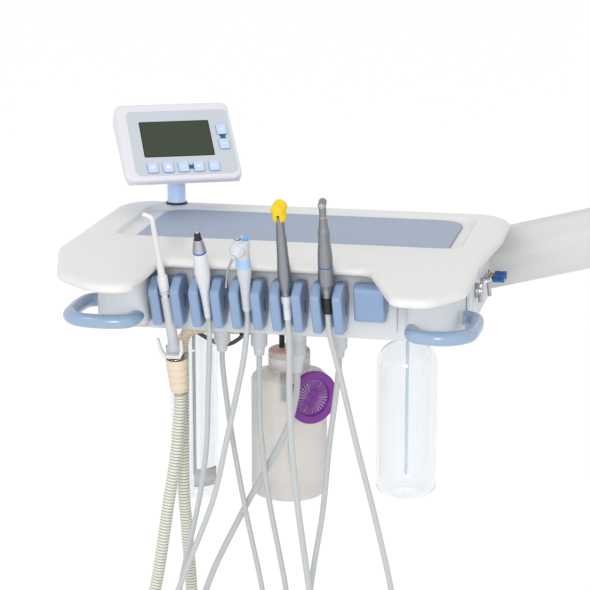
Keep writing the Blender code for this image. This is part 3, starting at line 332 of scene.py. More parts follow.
def lathe(name, profile, bands="white", sides=48, ribs=None, round_steps=3):
    """A turned shape from (radius, z) points. bands is a material, with a
    (lowest z, material) for each one above it; ribs is (count, depth, low z, high z)."""
    base, *upper = [bands] if isinstance(bands, str) else bands
    points = [Vector((r, z)) for r, z in profile]
    soft = [points[0]]
    for before, here, after in zip(points, points[1:], points[2:]):
        reach = min(0.7, (here - before).length * 0.3, (after - here).length * 0.3)
        turn = (here - before).angle(after - here, 0)
        if turn < 0.15 or here.x < 1e-6:
            soft.append(here)
            continue
        first = here + (before - here).normalized() * reach
        last = here + (after - here).normalized() * reach
        for step in range(round_steps + 1):
            t = step / round_steps
            soft.append(first * (1 - t) ** 2 + here * 2 * t * (1 - t) + last * t * t)
    soft.append(points[-1])
    verts, faces, rows = [], [], []
    for point in soft:
        if point.x < 1e-6:
            rows.append([len(verts)])
            verts.append((0, 0, point.y))
            continue
        rows.append(list(range(len(verts), len(verts) + sides)))
        for side in range(sides):
            angle = 2 * math.pi * side / sides
            radius = point.x
            if ribs and ribs[2] <= point.y <= ribs[3]:
                radius -= ribs[1] * (0.5 - 0.5 * math.cos(angle * ribs[0]))
            verts.append((radius * math.cos(angle), radius * math.sin(angle), point.y))
    indices = []
    for low, high in zip(rows, rows[1:]):
        for side in range(sides):
            quad = [low[side % len(low)], low[(side + 1) % len(low)]]
            quad += [high[(side + 1) % len(high)], high[side % len(high)]]
            quad = list(dict.fromkeys(quad))
            if len(quad) < 3:
                continue
            faces.append(tuple(quad))
            height = sum(verts[i][2] for i in quad) / len(quad)
            indices.append(sum(height >= z for z, _ in upper))
    for row in (rows[0], rows[-1]):
        if len(row) > 1:
            faces.append(tuple(row))
            indices.append(0)
    return make(name, verts, faces, [base, *(key for _, key in upper)], indices, smooth=38)


def sweep(name, path, radius, sides=20, material="hose", groove_shade=None):
    """A tube along path. radius is a number or a list, one for each point; a second material paints shade into
    the narrow grooves.
    """
    path = [Vector(p) for p in path]
    radii = radius if isinstance(radius, list) else [radius] * len(path)
    tangents = [(path[min(i + 1, len(path) - 1)] - path[max(i - 1, 0)]).normalized() for i in range(len(path))]
    across = tangents[0].orthogonal().normalized()
    verts, faces = [], []
    for point, tangent, r in zip(path, tangents, radii):
        across = (across - tangent * across.dot(tangent)).normalized()
        other = tangent.cross(across)
        for side in range(sides):
            angle = 2 * math.pi * side / sides
            verts.append(point + r * (math.cos(angle) * across + math.sin(angle) * other))
    for ring in range(len(path) - 1):
        for side in range(sides):
            a, b = ring * sides + side, ring * sides + (side + 1) % sides
            faces.append((a, b, b + sides, a + sides))
    faces += [tuple(range(sides)), tuple(range(len(verts) - sides, len(verts)))]
    indices = [0] * len(faces)
    # faces in the hose's narrow grooves take the second material, a painted shade
    if groove_shade:
        middle = (max(radii[3:-3]) + min(radii[3:-3])) / 2
        indices = [int(max(pair) < middle + 1e-9) for pair in zip(radii, radii[1:]) for side in range(sides)]
        indices += [0, 0]
    return make(name, verts, faces, (material, groove_shade) if groove_shade else (material,), indices, smooth=60)


def smooth_route(points, count, end_step=4):
    """count points on a smooth curve through the route points: a short step at each end, even ones between."""
    points = [Vector(point) for point in points]
    ends = [2 * points[0] - points[1]] + points + [2 * points[-1] - points[-2]]
    fine = []
    for a, b, c, d in zip(ends, ends[1:], ends[2:], ends[3:]):
        knots = [0]
        for first, second in ((a, b), (b, c), (c, d)):
            knots.append(knots[-1] + (second - first).length ** 0.5)
        t0, t1, t2, t3 = knots
        for step in range(24):
            t = t1 + (t2 - t1) * step / 24
            ab = a.lerp(b, (t - t0) / (t1 - t0))
            bc = b.lerp(c, (t - t1) / (t2 - t1))
            cd = c.lerp(d, (t - t2) / (t3 - t2))
            abc = ab.lerp(bc, (t - t0) / (t2 - t0))
            bcd = bc.lerp(cd, (t - t1) / (t3 - t1))
            fine.append(abc.lerp(bcd, (t - t1) / (t2 - t1)))
    fine.append(points[-1])
    lengths = [0]
    for first, second in zip(fine, fine[1:]):
        lengths.append(lengths[-1] + (second - first).length)
    inner = lengths[-1] - 2 * end_step
    targets = [0] + [end_step + inner * number / (count - 3) for number in range(count - 2)] + [lengths[-1]]
    route, index = [], 0
    for target in targets:
        while index < len(lengths) - 2 and lengths[index + 1] < target:
            index += 1
        span = lengths[index + 1] - lengths[index]
        route.append(fine[index].lerp(fine[index + 1], (target - lengths[index]) / span if span else 0))
    return route


def here(points):
    """Points of the head's frame, in the world."""
    return [HEAD + Vector(p) for p in points]


IN_HEAD = moved(HEAD)


# ---------------------------------------------------------------- the five hoses
STRAIGHT = 14
SLOT_Y, SLOT_Z = -165, -62
TIPS = {
    "suction": (-6.8, -454, 891), "scaler": (5.4, -422.6, 906.3), "syringe": (37.8, -422.3, 905.7),
    "turbine": (-20, -258.8, 965.7), "motor": (-9, -224.9, 974.3),
}
SLOT_AT = {name: Vector((-140 + 57 * number, SLOT_Y, SLOT_Z)) for number, name in enumerate(TIPS)}
FRAMES = {name: aimed(HEAD + SLOT_AT[name], TIPS[name]) for name in TIPS}
TAIL_ENDS = {"scaler": -20, "syringe": -3.5, "turbine": -14.5, "motor": -2.5}
CUFF_START, CUFF_END = Vector((-138.1, -119.2, -154.5)), Vector((-137, -112, -203))
PIPE_END = Vector((-142, -70, -156))
GLAND_Y = -95
GLAND_X = {"scaler": -78, "syringe": -24, "turbine": 31, "motor": 91}
GLAND_DEPTH = {"scaler": 33, "syringe": 36, "turbine": 58, "motor": 33}
HOSE_RADII = {"suction": 9.2, "scaler": 3.8, "syringe": 4, "turbine": 4.6, "motor": 4.2}
HOSE_ROUTES = {
    "suction": [
        (-138.5, -109, -243), (-144, -109.5, -300),
        (-154, -110, -362), (-173, -109, -483), (-192, -105, -580),
        (-188, -90, -660), (-158, -65, -690), (-138, -45, -630),
        (-140, -43, -530), (-142.5, -55, -440), (-144, -66, -367),
        (-143, -69, -260)],
    "scaler": [
        (-83.8, -146.2, -115), (-87, -145, -195),
        (-90, -145, -272), (-101, -145, -350), (-130, -145, -483),
        (-150, -143, -610), (-130, -136, -710), (-72, -122, -740),
        (-18, -108, -690), (-5, -101, -600), (-20, -98, -502),
        (-45, -96, -381), (-66, -95, -261), (-75.5, -95, -187)],
    "syringe": [
        (-29.2, -154, -105), (-33.5, -155, -142),
        (-45, -158, -200), (-57, -160, -257), (-77, -160, -345),
        (-112, -160, -440), (-148, -160, -540), (-164, -158, -640),
        (-138, -152, -735), (-68, -140, -770), (8, -122, -730),
        (33, -110, -620), (17, -105, -499), (-11, -102, -348),
        (-22, -98, -256), (-24, -95, -187)],
    "turbine": [
        (31.8, -154.5, -110), (31.8, -153, -193),
        (35, -152, -266), (42, -152, -340), (60, -152, -474),
        (80, -150, -620), (64, -144, -750), (-25, -120, -810),
        (-113, -95, -750), (-132, -84, -630), (-108, -82, -514),
        (-55, -83, -395), (-12, -86, -313), (16, -90, -255),
        (29, -95, -208)],
    "motor": [
        (90.5, -157, -102), (97.5, -155, -130),
        (112, -155, -190), (129, -155, -261), (155, -155, -362),
        (179, -154, -470), (197, -150, -600), (184, -142, -710),
        (123, -124, -750), (62, -106, -700), (44, -99, -600),
        (51, -97, -496), (69, -96, -373), (77, -95, -282),
        (87, -95, -200)],
}
RIB_PITCH = 4.7


def build_hoses():
    for name, middle in HOSE_ROUTES.items():
        down = Vector((0, 0, -1))
        if name == "suction":
            start, away, end = CUFF_END, (CUFF_END - CUFF_START).normalized(), PIPE_END + 2 * GAP * down
        else:
            away = -Vector(TIPS[name]).normalized()
            start = SLOT_AT[name] - away * TAIL_ENDS[name]
            end = Vector((GLAND_X[name], GLAND_Y, BODY_BOTTOM - GAP - 0.5 - GLAND_DEPTH[name]))
        route = [start + GAP * away, start + STRAIGHT * away, *[Vector(p) for p in middle],
                 end + STRAIGHT * down, end + GAP * down]
        line = here(smooth_route(route, 90))
        length = sum((b - a).length for a, b in zip(line, line[1:]))
        radius = HOSE_RADII[name]
        if name == "suction":
            count = round(length / RIB_PITCH) * 6
            fine = here(smooth_route(route, count))
            swell = [radius - 1.6 * (0.5 - 0.5 * math.cos(2 * math.pi * i / 6)) ** 1.5 for i in range(count)]
            swell[:2], swell[-2:] = [radius * 0.9] * 2, [radius * 0.9] * 2
            hose = sweep("suction_hose", fine, swell, 22, "cream_hose", "hose_groove_shade")
        else:
            hose = sweep(f"{name}_hose", here(smooth_route(route, 170)), radius, 18, "hose")
        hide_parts(f"hose_{name}")
        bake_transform(hose)


# ---------------------------------------------------------------- the tray and the housing
def tray_outline(steps=10):
    return rounded([
        (-307, 237, 55), (-312, -110, 90), (-268, -262, 75), (-213, -312, 40),
        (-192, -318, 20),
        (-150, -318, 26), (-150, -156, 18), (143, -156, 20), (199, -318, 22),
        (249, -322, 34), (290, -255, 45), (287, -80, 150), (300, 80, 150),
        (298, 237, 60)], steps)


def inset(outline, distance):
    """The outline moved inwards, its points still one for one."""
    moved = []
    turn = sum(a[0] * b[1] - b[0] * a[1] for a, b in zip(outline, outline[1:] + outline[:1]))
    side = 1 if turn > 0 else -1
    for index, point in enumerate(outline):
        before, after = Vector(outline[index - 1]), Vector(outline[(index + 1) % len(outline)])
        along = (after - before).normalized()
        moved.append((point[0] - side * along.y * distance, point[1] + side * along.x * distance))
    return moved


def build_tray():
    """Rings from the underside, round the soft edge, over the rim and down into the recess."""
    edge = [(7.5, -14), (3, -13.2), (0.8, -11.5), (0, -9), (0, -7.2),
            (0.9, -4.6), (2.8, -2.4), (6.2, -0.9), (11, -0.2), (16, 0)]
    well = [(0, 0), (1.2, -0.3), (2.4, -1.2), (4, -3.6), (5.6, -6.2), (7.2, -7.6),
            (9, -8)]
    outer = tray_outline()
    recess = rounded(rectangle(-262, 252, -18, 205, 30), 8)
    work = bmesh.new()

    def ring(points, height):
        return [work.verts.new(MM * Vector((x, y, height))) for x, y in points]

    def walls(rings):
        for low, high in zip(rings, rings[1:]):
            count = len(low)
            for index in range(count):
                work.faces.new((low[index], low[(index + 1) % count], high[(index + 1) % count], high[index]))

    rim = [ring(inset(outer, distance), height) for distance, height in edge]
    bowl = [ring(inset(recess, distance), height) for distance, height in well]
    walls(rim)
    walls(bowl)
    work.faces.new(rim[0])
    work.faces.new(bowl[-1])
    open_edges = [e for e in work.edges if len(e.link_faces) == 1]
    bmesh.ops.triangle_fill(work, use_beauty=True, edges=open_edges)
    bmesh.ops.recalc_face_normals(work, faces=work.faces)
    mesh = bpy.data.meshes.new("tray_deck")
    work.to_mesh(mesh)
    work.free()
    mesh.materials.append(M["white"])
    put(shown(mesh, 50), "head", ["tray_top"], IN_HEAD)

    pad = slab("tray_pad", rounded([(-230, -16.5, 5), (230, -16.5, 5), (230, 198, 38),
                                    (-230, 198, 38)]), -7.8, -5.2, 0.8, 2, "mat")
    put(pad, "head", ["tray_mat"], IN_HEAD)


def build_body():
    box_part = slab("housing", rounded([(-250, -115, 4), (266, -115, 4), (266, 190, 20),
                                        (-250, 190, 20)]), BODY_BOTTOM, BODY_TOP - 0.3, 2, 3, "panel")
    parts = [box_part]
    for left, right in ((-242, -168), (194, 265)):
        parts.append(slab("column", rounded([(left, -180, 28), (right, -180, 28), (right, -105, 0),
                                             (left, -105, 0)], 12), -94, BODY_TOP, 3, 3, "panel"))
    put(merged("housing", parts), "head", ["body_shell"], IN_HEAD)

    panel = slab("front_plate", rounded(rectangle(-167, 177, -101, -17.5, 3), 3), -120.3, -115.3, 1.8, 3,
                 "panel", "xz")
    put(panel, "head", ["front_panel"], IN_HEAD)
    clip = slab("front_clip", rounded(rectangle(-196, -181, -109.5, -100.5, 2), 3), -118.5, -112.5, 1, 2,
                "grey_plastic", "xz")
    put(clip, "head", place=IN_HEAD)

    side = 266.3
    frame_edge = rounded([(-68, -112, 3), (172, -112, 12), (172, -30, 6),
                          (-68, -30, 3)])
    plate = slab("valve_plate", frame_edge, side, side + 4, 1.2, 3, "panel", "yz")
    lines = [box("plate_line", (side + 3.8, y, -103), (side + 4.3, y + 1.6, -38), 0.2, "band_blue")
             for y in (-58, -30, 42)]
    nuts = []
    for y, z in ((68, -67), (99, -71), (129, -75), (160, -77)):
        nut = lathe("nut", [(0, -2), (6.6, -2), (7, 0.2), (7, 2.2), (6, 3), (0, 3)],
                    "steel", 6, round_steps=1)
        nut.matrix_world = moved((side + 4.3, y, z)) @ turned(math.pi / 2, "Y")
        nuts.append(nut)
    for y, z in ((129, -75), (160, -77)):
        stem = lathe("stem", [(0, 0), (3, 0), (3, 3.5), (3.6, 4), (3.6, 6), (3, 6.5),
                              (3, 9), (0, 9)], "brass", 24)
        stem.matrix_world = moved((side + 4.3, y, z)) @ turned(math.pi / 2, "Y")
        nuts.append(stem)
    toggle = lathe("toggle", [(0, 0), (4.2, 0), (4.2, 3), (3, 3.6), (2.4, 10), (3, 12),
                              (2.2, 13.2), (0, 13.4)], "chrome", 24)
    toggle.matrix_world = moved((side + 7.3, 68, -67)) @ turned(1.15, "Y")
    nuts.append(toggle)
    put(merged("valve_plate", [plate, *lines, *nuts]), "head", ["side_plate"], IN_HEAD)

    swivel = Vector((30, 285, 0))
    bracket = [
        slab("hinge_web", rounded(rectangle(-15, 75, -100, -22, 6)), 190.3, 200, 1.5, 3, "metal_white",
             "xz"),
        box("hinge_arm", (16, 195, -68), (44, 285, -24), 4, "metal_white")]
    barrel = lathe("hinge_barrel", [(10.3, -71), (20.5, -71), (22, -69.5), (22, -23.5), (20.5, -22),
                                    (10.3, -22)], "metal_white", 40)
    barrel.matrix_world = moved(swivel)
    bracket.append(barrel)
    put(merged("hinge_bracket", bracket), "head", ["rear_bracket"], IN_HEAD)


def build_handles():
    for name, inner, outer, wall_x in (("left_grip", -182, -278, -250), ("right_grip", 207, 288, 266)):
        sign = math.copysign(1, wall_x)
        z = -81
        route = [
            (inner, -165, z), (inner, -176, z), (inner, -186, z),
            (inner + sign * 6, -200, z), (inner + sign * 24, -207.5, z),
            ((inner + outer) / 2, -209, z), (outer - sign * 22, -203.5, z),
            (outer - sign * 4, -185, z), (outer, -155, z), (outer, -125, z), (outer - sign * 4, -99, z),
            (outer - sign * 14, -88.5, z), (wall_x + sign * 4, -88, z), (wall_x - sign * 2, -88, z),
            (wall_x - sign * 8, -88, z)]
        grip = sweep(name, smooth_route(route, 70), 10, 32, "handle")
        put(grip, "head", ["handle_left" if sign < 0 else "handle_right"], IN_HEAD)


# ---------------------------------------------------------------- CAD nodes that keep their own shape
def dress(node, key, bevel):
    """Softens a CAD node's edges and gives it a finish."""
    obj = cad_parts[node]
    obj.data.materials.clear()
    obj.data.materials.append(M[key])
    weld = obj.modifiers.new("weld", "WELD")
    weld.merge_threshold = 0.02 * MM
    soften(obj, bevel, 2, 28)
    obj.data.polygons.foreach_set("use_smooth", [True] * len(obj.data.polygons))


DRESSED = {
    "bottom_plate": ("white", 0.4),
    "arm_bracket": ("metal_white", 1.2), "arm_cover": ("arm", 1.2), "arm_lower_link": ("arm", 0.8),
    "rear_knuckle": ("metal_white", 1.2), "front_knuckle": ("metal_white", 1.2), "console_back": ("post", 1),
    "suction_lever": ("white", 0.8), "valve_lever": ("steel", 0.4), "selector_knob": ("steel", 0.6),
}


def build_holders():
    """Each holder is two padded cheeks on a bridge that meets the front plate."""
    back = -120.6
    cheek = rounded([(-160, -96, 5), (-188, -39, 7), (-166, -23.5, 10), (-142, -23.5, 8),
                     (back, -46, 0), (back, -78, 0), (-137, -96, 8)], 6)
    bridge = rounded([(-137.8, -94.5, 2), (-137.8, -25.5, 2), (back, -47.5, 0), (back, -76.5, 0)], 4)
    for number, place in enumerate(SLOT_AT.values(), 1):
        parts = [slab("bridge", bridge, place.x - 10, place.x + 10, 0, 1, "blue", "yz")]
        parts += [slab("cheek", cheek, place.x + low, place.x + high, 3.4, 4, "blue", "yz")
                  for low, high in ((-22, -8.4), (8.4, 22))]
        clip = box("clip", (place.x + 21.9, -150, -70), (place.x + 22.4, -146, -52), 0, "dark")
        pads = merged(f"holder_pads_{number}", [*parts, clip])
        put(pads, "head", [f"holder_{number}"], IN_HEAD)
    cover = slab("blank_cover", rounded([(-151, -78, 6), (-166, -30, 6), (-150, -22.5, 6),
                                         (back, -35, 0), (back, -70, 0), (-138, -81, 8)], 6),
                 122, 165, 3.4, 4, "blue", "yz")
    put(cover, "head", ["holder_blank"], IN_HEAD)


def dress_all():
    for node, (key, bevel) in DRESSED.items():
        dress(node, key, bevel)


# ---------------------------------------------------------------- the instruments
def turned_in(name, instrument, profile, bands, replaces=()):
    """A turned piece on its instrument's axis."""
    put(lathe(name, profile, bands), instrument, replaces, FRAMES[instrument])


def grooved(radius, low, high, count, depth=0.5):
    """(radius, z) points of a ringed stretch, going up."""
    step = (high - low) / count
    points = []
    for number in range(count):
        z = low + number * step
        points += [(radius, z), (radius, z + step * 0.62),
                   (radius - depth, z + step * 0.70), (radius - depth, z + step * 0.92)]
    return points


def build_suction():
    at = FRAMES["suction"]
    handle = lathe("suction_grip", [
        (0, -78.5), (8.6, -78.5), (8.3, -74), (7.6, -60), (7.1, -20), (7.3, 12),
        (7.3, 14), (7.5, 14.5), (7.5, 19.5), (7.3, 20), (7.4, 23), (6.8, 25.8),
        (0, 25.8)], ("light_grey", (14.2, "chrome"), (19.8, "light_grey")))
    socket = lathe("socket", [
        (0, -99.5), (12.8, -99.5), (12.8, -96), (11.9, -95.4), (11.9, -92.5), (13, -91.8),
        (12.6, -85), (9.8, -77), (8, -73.5), (0, -73.5)],
        ("chrome", (-95.8, "groove"), (-92.2, "light_grey")))
    stripes = []
    for number in range(2):
        stripe = box("stripe", (-1.2, -0.2, -4.5), (1.2, 0.4, 4.5), 0.2, "groove")
        stripe.matrix_world = turned(number * math.pi, "Z") @ moved((11.8, 0, -83.5)) @ turned(math.pi / 2, "Z")
        stripes.append(stripe)
    holes = []
    for number in range(8):
        hole = lathe("hole", [(0, 0), (1.1, 0), (1.1, 0.4), (0, 0.4)], "black", 12)
        hole.matrix_world = (turned(number * math.pi / 4 + 0.3, "Z") @ moved((12.6, 0, -97.7))
                             @ turned(math.pi / 2, "Y"))
        holes.append(hole)
    grip = merged("suction_grip", [handle, socket, *stripes, *holes])
    put(grip, "suction", ["suction_handle"], at)

    bend = smooth_route([(0, 0, 138), (0, 0, 148), (-1.4, 0, 153), (-5.5, 0, 156), (-12, 0, 158.5)], 40)
    cone = [Vector((0, 0, 46 + 4.6 * i)) for i in range(20)]
    tip_line = cone + bend
    widths = [5.4 - 1.04 * i / 10 for i in range(20)] + [3.4 - 0.01 * i for i in range(40)]
    tip = sweep("tube_part", tip_line, widths, 24, "white")
    end = lathe("tip_end", [(0, 0), (2, 0), (3, 0.4), (3.3, 1.4), (0, 1.4)], "light_grey", 20)
    end.matrix_world = aimed(tip_line[-1] - Vector((0.3, 0, -0.1)), tip_line[-2] - tip_line[-1])
    collar = lathe("collar", [(0, 26.4), (7, 26.4), (7.4, 29), (6.4, 29.6), (6.4, 31.2),
                              (7.4, 31.8), (7.4, 44), (6.6, 45), (6.6, 46.2), (7.4, 46.8),
                              (7.2, 49), (5.6, 51.5), (0, 51.5)], "white")
    put(merged("suction_tube", [tip, end, collar]), "suction", ["suction_tip"], at)

    length = (CUFF_END - CUFF_START).length
    cuff = lathe("suction_sleeve", [
        (0, -length), (11.6, -length), (11.8, -46), (13.8, -42), (13.9, -34.5), (13.1, -33.8),
        (13.1, -32.2), (14.2, -31.5), (14.7, -24.5), (13.9, -23.8), (13.9, -22.2), (15, -21.5),
        (15.5, -14), (14.7, -13.3), (14.7, -11.7), (15.7, -11), (16.2, 0), (16.1, 2.6),
        (14.8, 1.2), (13.8, -1.4), (0, -1.4)], "cream", 56)
    put(cuff, "suction", ["suction_cuff"], aimed(HEAD + CUFF_START, CUFF_START - CUFF_END))


def build_scaler():
    tail = TAIL_ENDS["scaler"]
    turned_in("scaler_tail", "scaler", [(0, tail), (4.8, tail), (5, -18.5), (5.5, -2), (5.7, 1.4),
                                        (0, 1.4)], "panel")
    turned_in("scaler_grip", "scaler", [
        (0, 1.7), (5.7, 1.7), (6.2, 13), (7.4, 31), (8, 34.5), (8, 35.3),
        (7.7, 35.7), (7.9, 36.3), (9, 42), (10.6, 53), (10.8, 60), (10.7, 70),
        (10.3, 80), (9.8, 89.5), (9.6, 93.5), (9.3, 93.8), (9.5, 94.4), (9.6, 96.2),
        (9.2, 96.6), (9.4, 97.2), (8.6, 103), (6.2, 115.3), (4.8, 116), (4.8, 117.8),
        (4.1, 118.6), (4.6, 119.4), (4.6, 123.6), (3.2, 127), (1.4, 128.4), (1.2, 130),
        (1.6, 130.6), (1.6, 134.5), (1, 135.9), (0, 135.9)],
        ("panel", (35.4, "light_grey"), (36, "panel"), (93.6, "ring_blue"), (96.3, "steel"),
         (115.6, "black"), (127.2, "steel")), replaces=["scaler_handpiece"])


def build_syringe():
    tail = TAIL_ENDS["syringe"]
    at = FRAMES["syringe"]
    turned_in("syringe_tail", "syringe", [(0, tail), (6, tail), (6.2, -3), (6.6, 6), (0, 6)],
              "light_grey")
    grip = lathe("syringe_grip", [
        (0, 6.3), (6.7, 6.3), (6.8, 10), (7, 30), (7.3, 41), (9, 52), (10.2, 61),
        (10.3, 72.5), (10, 73), (10.2, 73.6), (10.1, 89), (9.8, 89.6), (10, 90.2),
        (9.7, 93), (10.4, 104), (10.9, 114), (10.7, 116), (9.8, 117.1), (0, 117.1)],
        ("light_grey", (73.2, "band_blue"), (89.8, "light_grey")))
    ball_at = Vector((-4.8, -5.8, 104.5))
    steps = [number * math.pi / 16 for number in range(17)]
    ball = lathe("ball", [(11.8 * math.sin(t), -11.8 * math.cos(t)) for t in steps], "light_grey", 44)
    ball.matrix_world = moved(ball_at)
    outward = Vector((-2.5, -12, -2)).normalized()
    seat = lathe("seat", [(0, 10), (5.2, 10), (5, 11.2), (3.4, 11.9), (0, 11.9)], "panel", 32)
    seat.matrix_world = aimed(ball_at, outward)
    wells = []
    for x in (-5.3, 5.3):
        well = lathe("well", [(4.9, 116.8), (4.8, 118.4), (4.5, 118.6), (4.3, 118.2), (4.3, 116.8)],
                     "panel", 32)
        well.matrix_world = moved((x, 0, 0))
        wells.append(well)
    put(merged("syringe_grip", [grip, ball, seat, *wells]), "syringe", ["syringe_body"], at)

    nozzle = smooth_route([(-7.3, -17.8, 102.5), (-8.6, -20.4, 100.8), (-11.8, -20, 94),
                           (-15.8, -18, 83), (-18.8, -17, 74), (-23, -16, 46)], 60)
    radii = [1.9 if i < 7 else 1.5 if i < 40 else 1.7 if i < 43 else 1.4 for i in range(60)]
    tube = sweep("air_water_tube", nozzle, radii, 18, "steel")
    put(tube, "syringe_tube", ["syringe_nozzle"], at)
    for name, x, key in (("air", -5.3, "steel"), ("water", 5.3, "button_blue")):
        button = lathe(f"{name}_button", [(0, 118.3), (3.9, 118.3), (4, 121), (3.5, 121.7), (2.6, 121.3),
                                          (0, 121.1)], key, 36)
        place = at @ moved((x, 0, 0))
        put(button, f"button_{name}", [f"syringe_button_{name}"], place)


def build_turbine():
    tail = TAIL_ENDS["turbine"]
    turned_in("turbine_tail", "turbine", [(0, tail), (5.4, tail), (5.6, -13.8), (5.8, 4), (0, 4)],
              "panel")
    turned_in("turbine_grip", "turbine", [
        (0, 4.3), (5.8, 4.3), (6, 10.5), (7, 11.2), (7.4, 12.4), (7.5, 21.5), (7.1, 22),
        (7.1, 22.8), (7.6, 23.2), (7.6, 27.5), (7.2, 28), (7.2, 29), (7.6, 29.6),
        (7.6, 39), (9.1, 52), (9.1, 56), (8.9, 66), (8.4, 74), (7.8, 85),
        (7.2, 108), (6.7, 116), *grooved(6.3, 118, 128, 4, 0.3), (5.8, 134), (5.6, 137.4),
        (0, 137.4)],
        ("panel", (22.5, "instrument")), replaces=["turbine_handpiece"])
    # the guard over the turbine's head: a short barrel lying front to back with a cone down to the neck
    barrel = lathe("barrel", [
        (0, -10.2), (6, -10.2), (8.8, -8.8), (9.6, -6), (9.8, 4), (9, 7.8),
        (6.6, 9.8), (0, 10.2)], "yellow", 48)
    barrel.matrix_world = aimed((0.2, 0, 156), (0.28, 0.90, 0.30), (1, 0, 0))
    skirt = lathe("skirt", [(0, 138), (8.6, 138), (9.2, 139.2), (10, 145), (9.8, 154), (8, 160),
                            (0, 162)], "yellow", 44)
    slit = slab("slit", rounded(rectangle(-1.8, 1.8, 138.3, 149, 1.5), 4), -10.3, -6, 0.4, 2, "black",
                "xz")
    pin = lathe("pin", [(0, 138.6), (1, 138.6), (1, 146.2), (0, 146.6)], "steel", 16)
    pin.matrix_world = moved((0, -10.1, 0))
    guard = merged("burr_guard", [skirt, barrel, slit, pin])
    put(guard, "burr_cap", ["turbine_cap"], FRAMES["turbine"])


def build_motor():
    tail = TAIL_ENDS["motor"]
    turned_in("motor_grip", "motor", [
        (0, tail), (5.6, tail), (5.9, -1.5), (6.6, 4), *grooved(7.4, 8, 12, 2, 0.3),
        (7.7, 13), (8, 20.5), (7.6, 22.7), (0, 22.7)], "black",
        replaces=["micromotor"])
    shank = lathe("shank", [
        (0, 23.1), (7.8, 23.1), (7.9, 25), (7.9, 32), (7.5, 32.5), (7.5, 33.5), (7.9, 34),
        (7.9, 37), (10, 42), (10.7, 44.6), (10.3, 45), (10.3, 46), (10.8, 46.5),
        (11, 57), (10.8, 64), (10.4, 66.5), (10.1, 66.8), (10.1, 68), (10.5, 68.4),
        (10.5, 70), (10.1, 70.4), (10.1, 71.2), (10.4, 71.8), (10.2, 82), (9.9, 90),
        (9, 99), *grooved(8.2, 105, 123, 8, 0.3), (6.6, 128), (5.3, 142), (5, 144),
        (4.6, 156), (0, 156)],
        ("instrument", (68.2, "ring_blue"), (70.25, "instrument"), (142.2, "brass"), (143.6, "instrument")), 56)
    top = lathe("angle_top", [(0, -7.2), (3, -7.2), (3.4, -6.4), (5.2, -5.8), (5.6, -4.4),
                              (5.6, 5.2), (5, 6.8), (3.6, 7.6), (0, 7.8)],
                ("steel", (-6, "instrument")), 44)
    top.matrix_world = aimed((0, 0.2, 161.7), (0, 955, 296), (1, 0, 0))
    neck = lathe("neck", [(0, 150), (5, 150), (5, 160), (3, 164), (0, 165)],
                 "instrument", 32)
    angle = merged("angle_piece", [shank, top, neck])
    put(angle, "angle_head", ["contra_angle"], FRAMES["motor"])


# ---------------------------------------------------------------- the motor console
POST_AT = Vector((-222, 215, 0))
CONSOLE_YAW, CONSOLE_TILT = math.radians(23.5), math.radians(55)
TILT_AXIS_Z, FACE_OUT = 64, 45
KEY_PITCH, KEY_ROW, KEY_COLUMN_X = 23.5, (-46.5, -53), 70
KEY_PLACES = {name: (KEY_ROW[0] + number * KEY_PITCH, KEY_ROW[1])
              for number, name in enumerate(("program", "home", "less", "more", "set"))}
KEY_PLACES.update(up=(KEY_COLUMN_X, 24), down=(KEY_COLUMN_X, -7.5))


def console_place():
    heading = Vector((math.sin(CONSOLE_YAW), -math.cos(CONSOLE_YAW), 0))
    right = (math.cos(CONSOLE_YAW), math.sin(CONSOLE_YAW), 0)
    outward = math.cos(CONSOLE_TILT) * heading + math.sin(CONSOLE_TILT) * Vector((0, 0, 1))
    return aimed(HEAD + POST_AT + Vector((0, 0, TILT_AXIS_Z)), outward, right)


def mark(shapes, base):
    """A raised symbol from boxes, (left, low, right, high), on a key's face."""
    return [box("mark", (x0, y0, base), (x1, y1, base + 0.25), 0.08, "key_mark") for x0, y0, x1, y1 in shapes]


SYMBOLS = {
    "program": [(-3, 1.8, 3, 2.7), (-3, -0.5, 3, 0.4), (-3, -2.8, 1, -1.9)],
    "home": [(-2.6, -3, 2.6, 0.6), (-3.4, 0.6, 3.4, 1.3), (-2.2, 1.3, 2.2, 2.1),
             (-1, 2.1, 1, 2.9)],
    "less": [(-3, -0.5, 3, 0.5)],
    "more": [(-3, -0.5, 3, 0.5), (-0.5, 0.5, 0.5, 3), (-0.5, -3, 0.5, -0.5)],
    "set": [(-3.4, -2.2, -2.7, 2.2), (2.7, -2.2, 3.4, 2.2), (-2.7, 1.5, 2.7, 2.2),
            (-2.7, -2.2, 1, -1.5)],
}
SYMBOLS["up"], SYMBOLS["down"] = SYMBOLS["more"], SYMBOLS["less"]


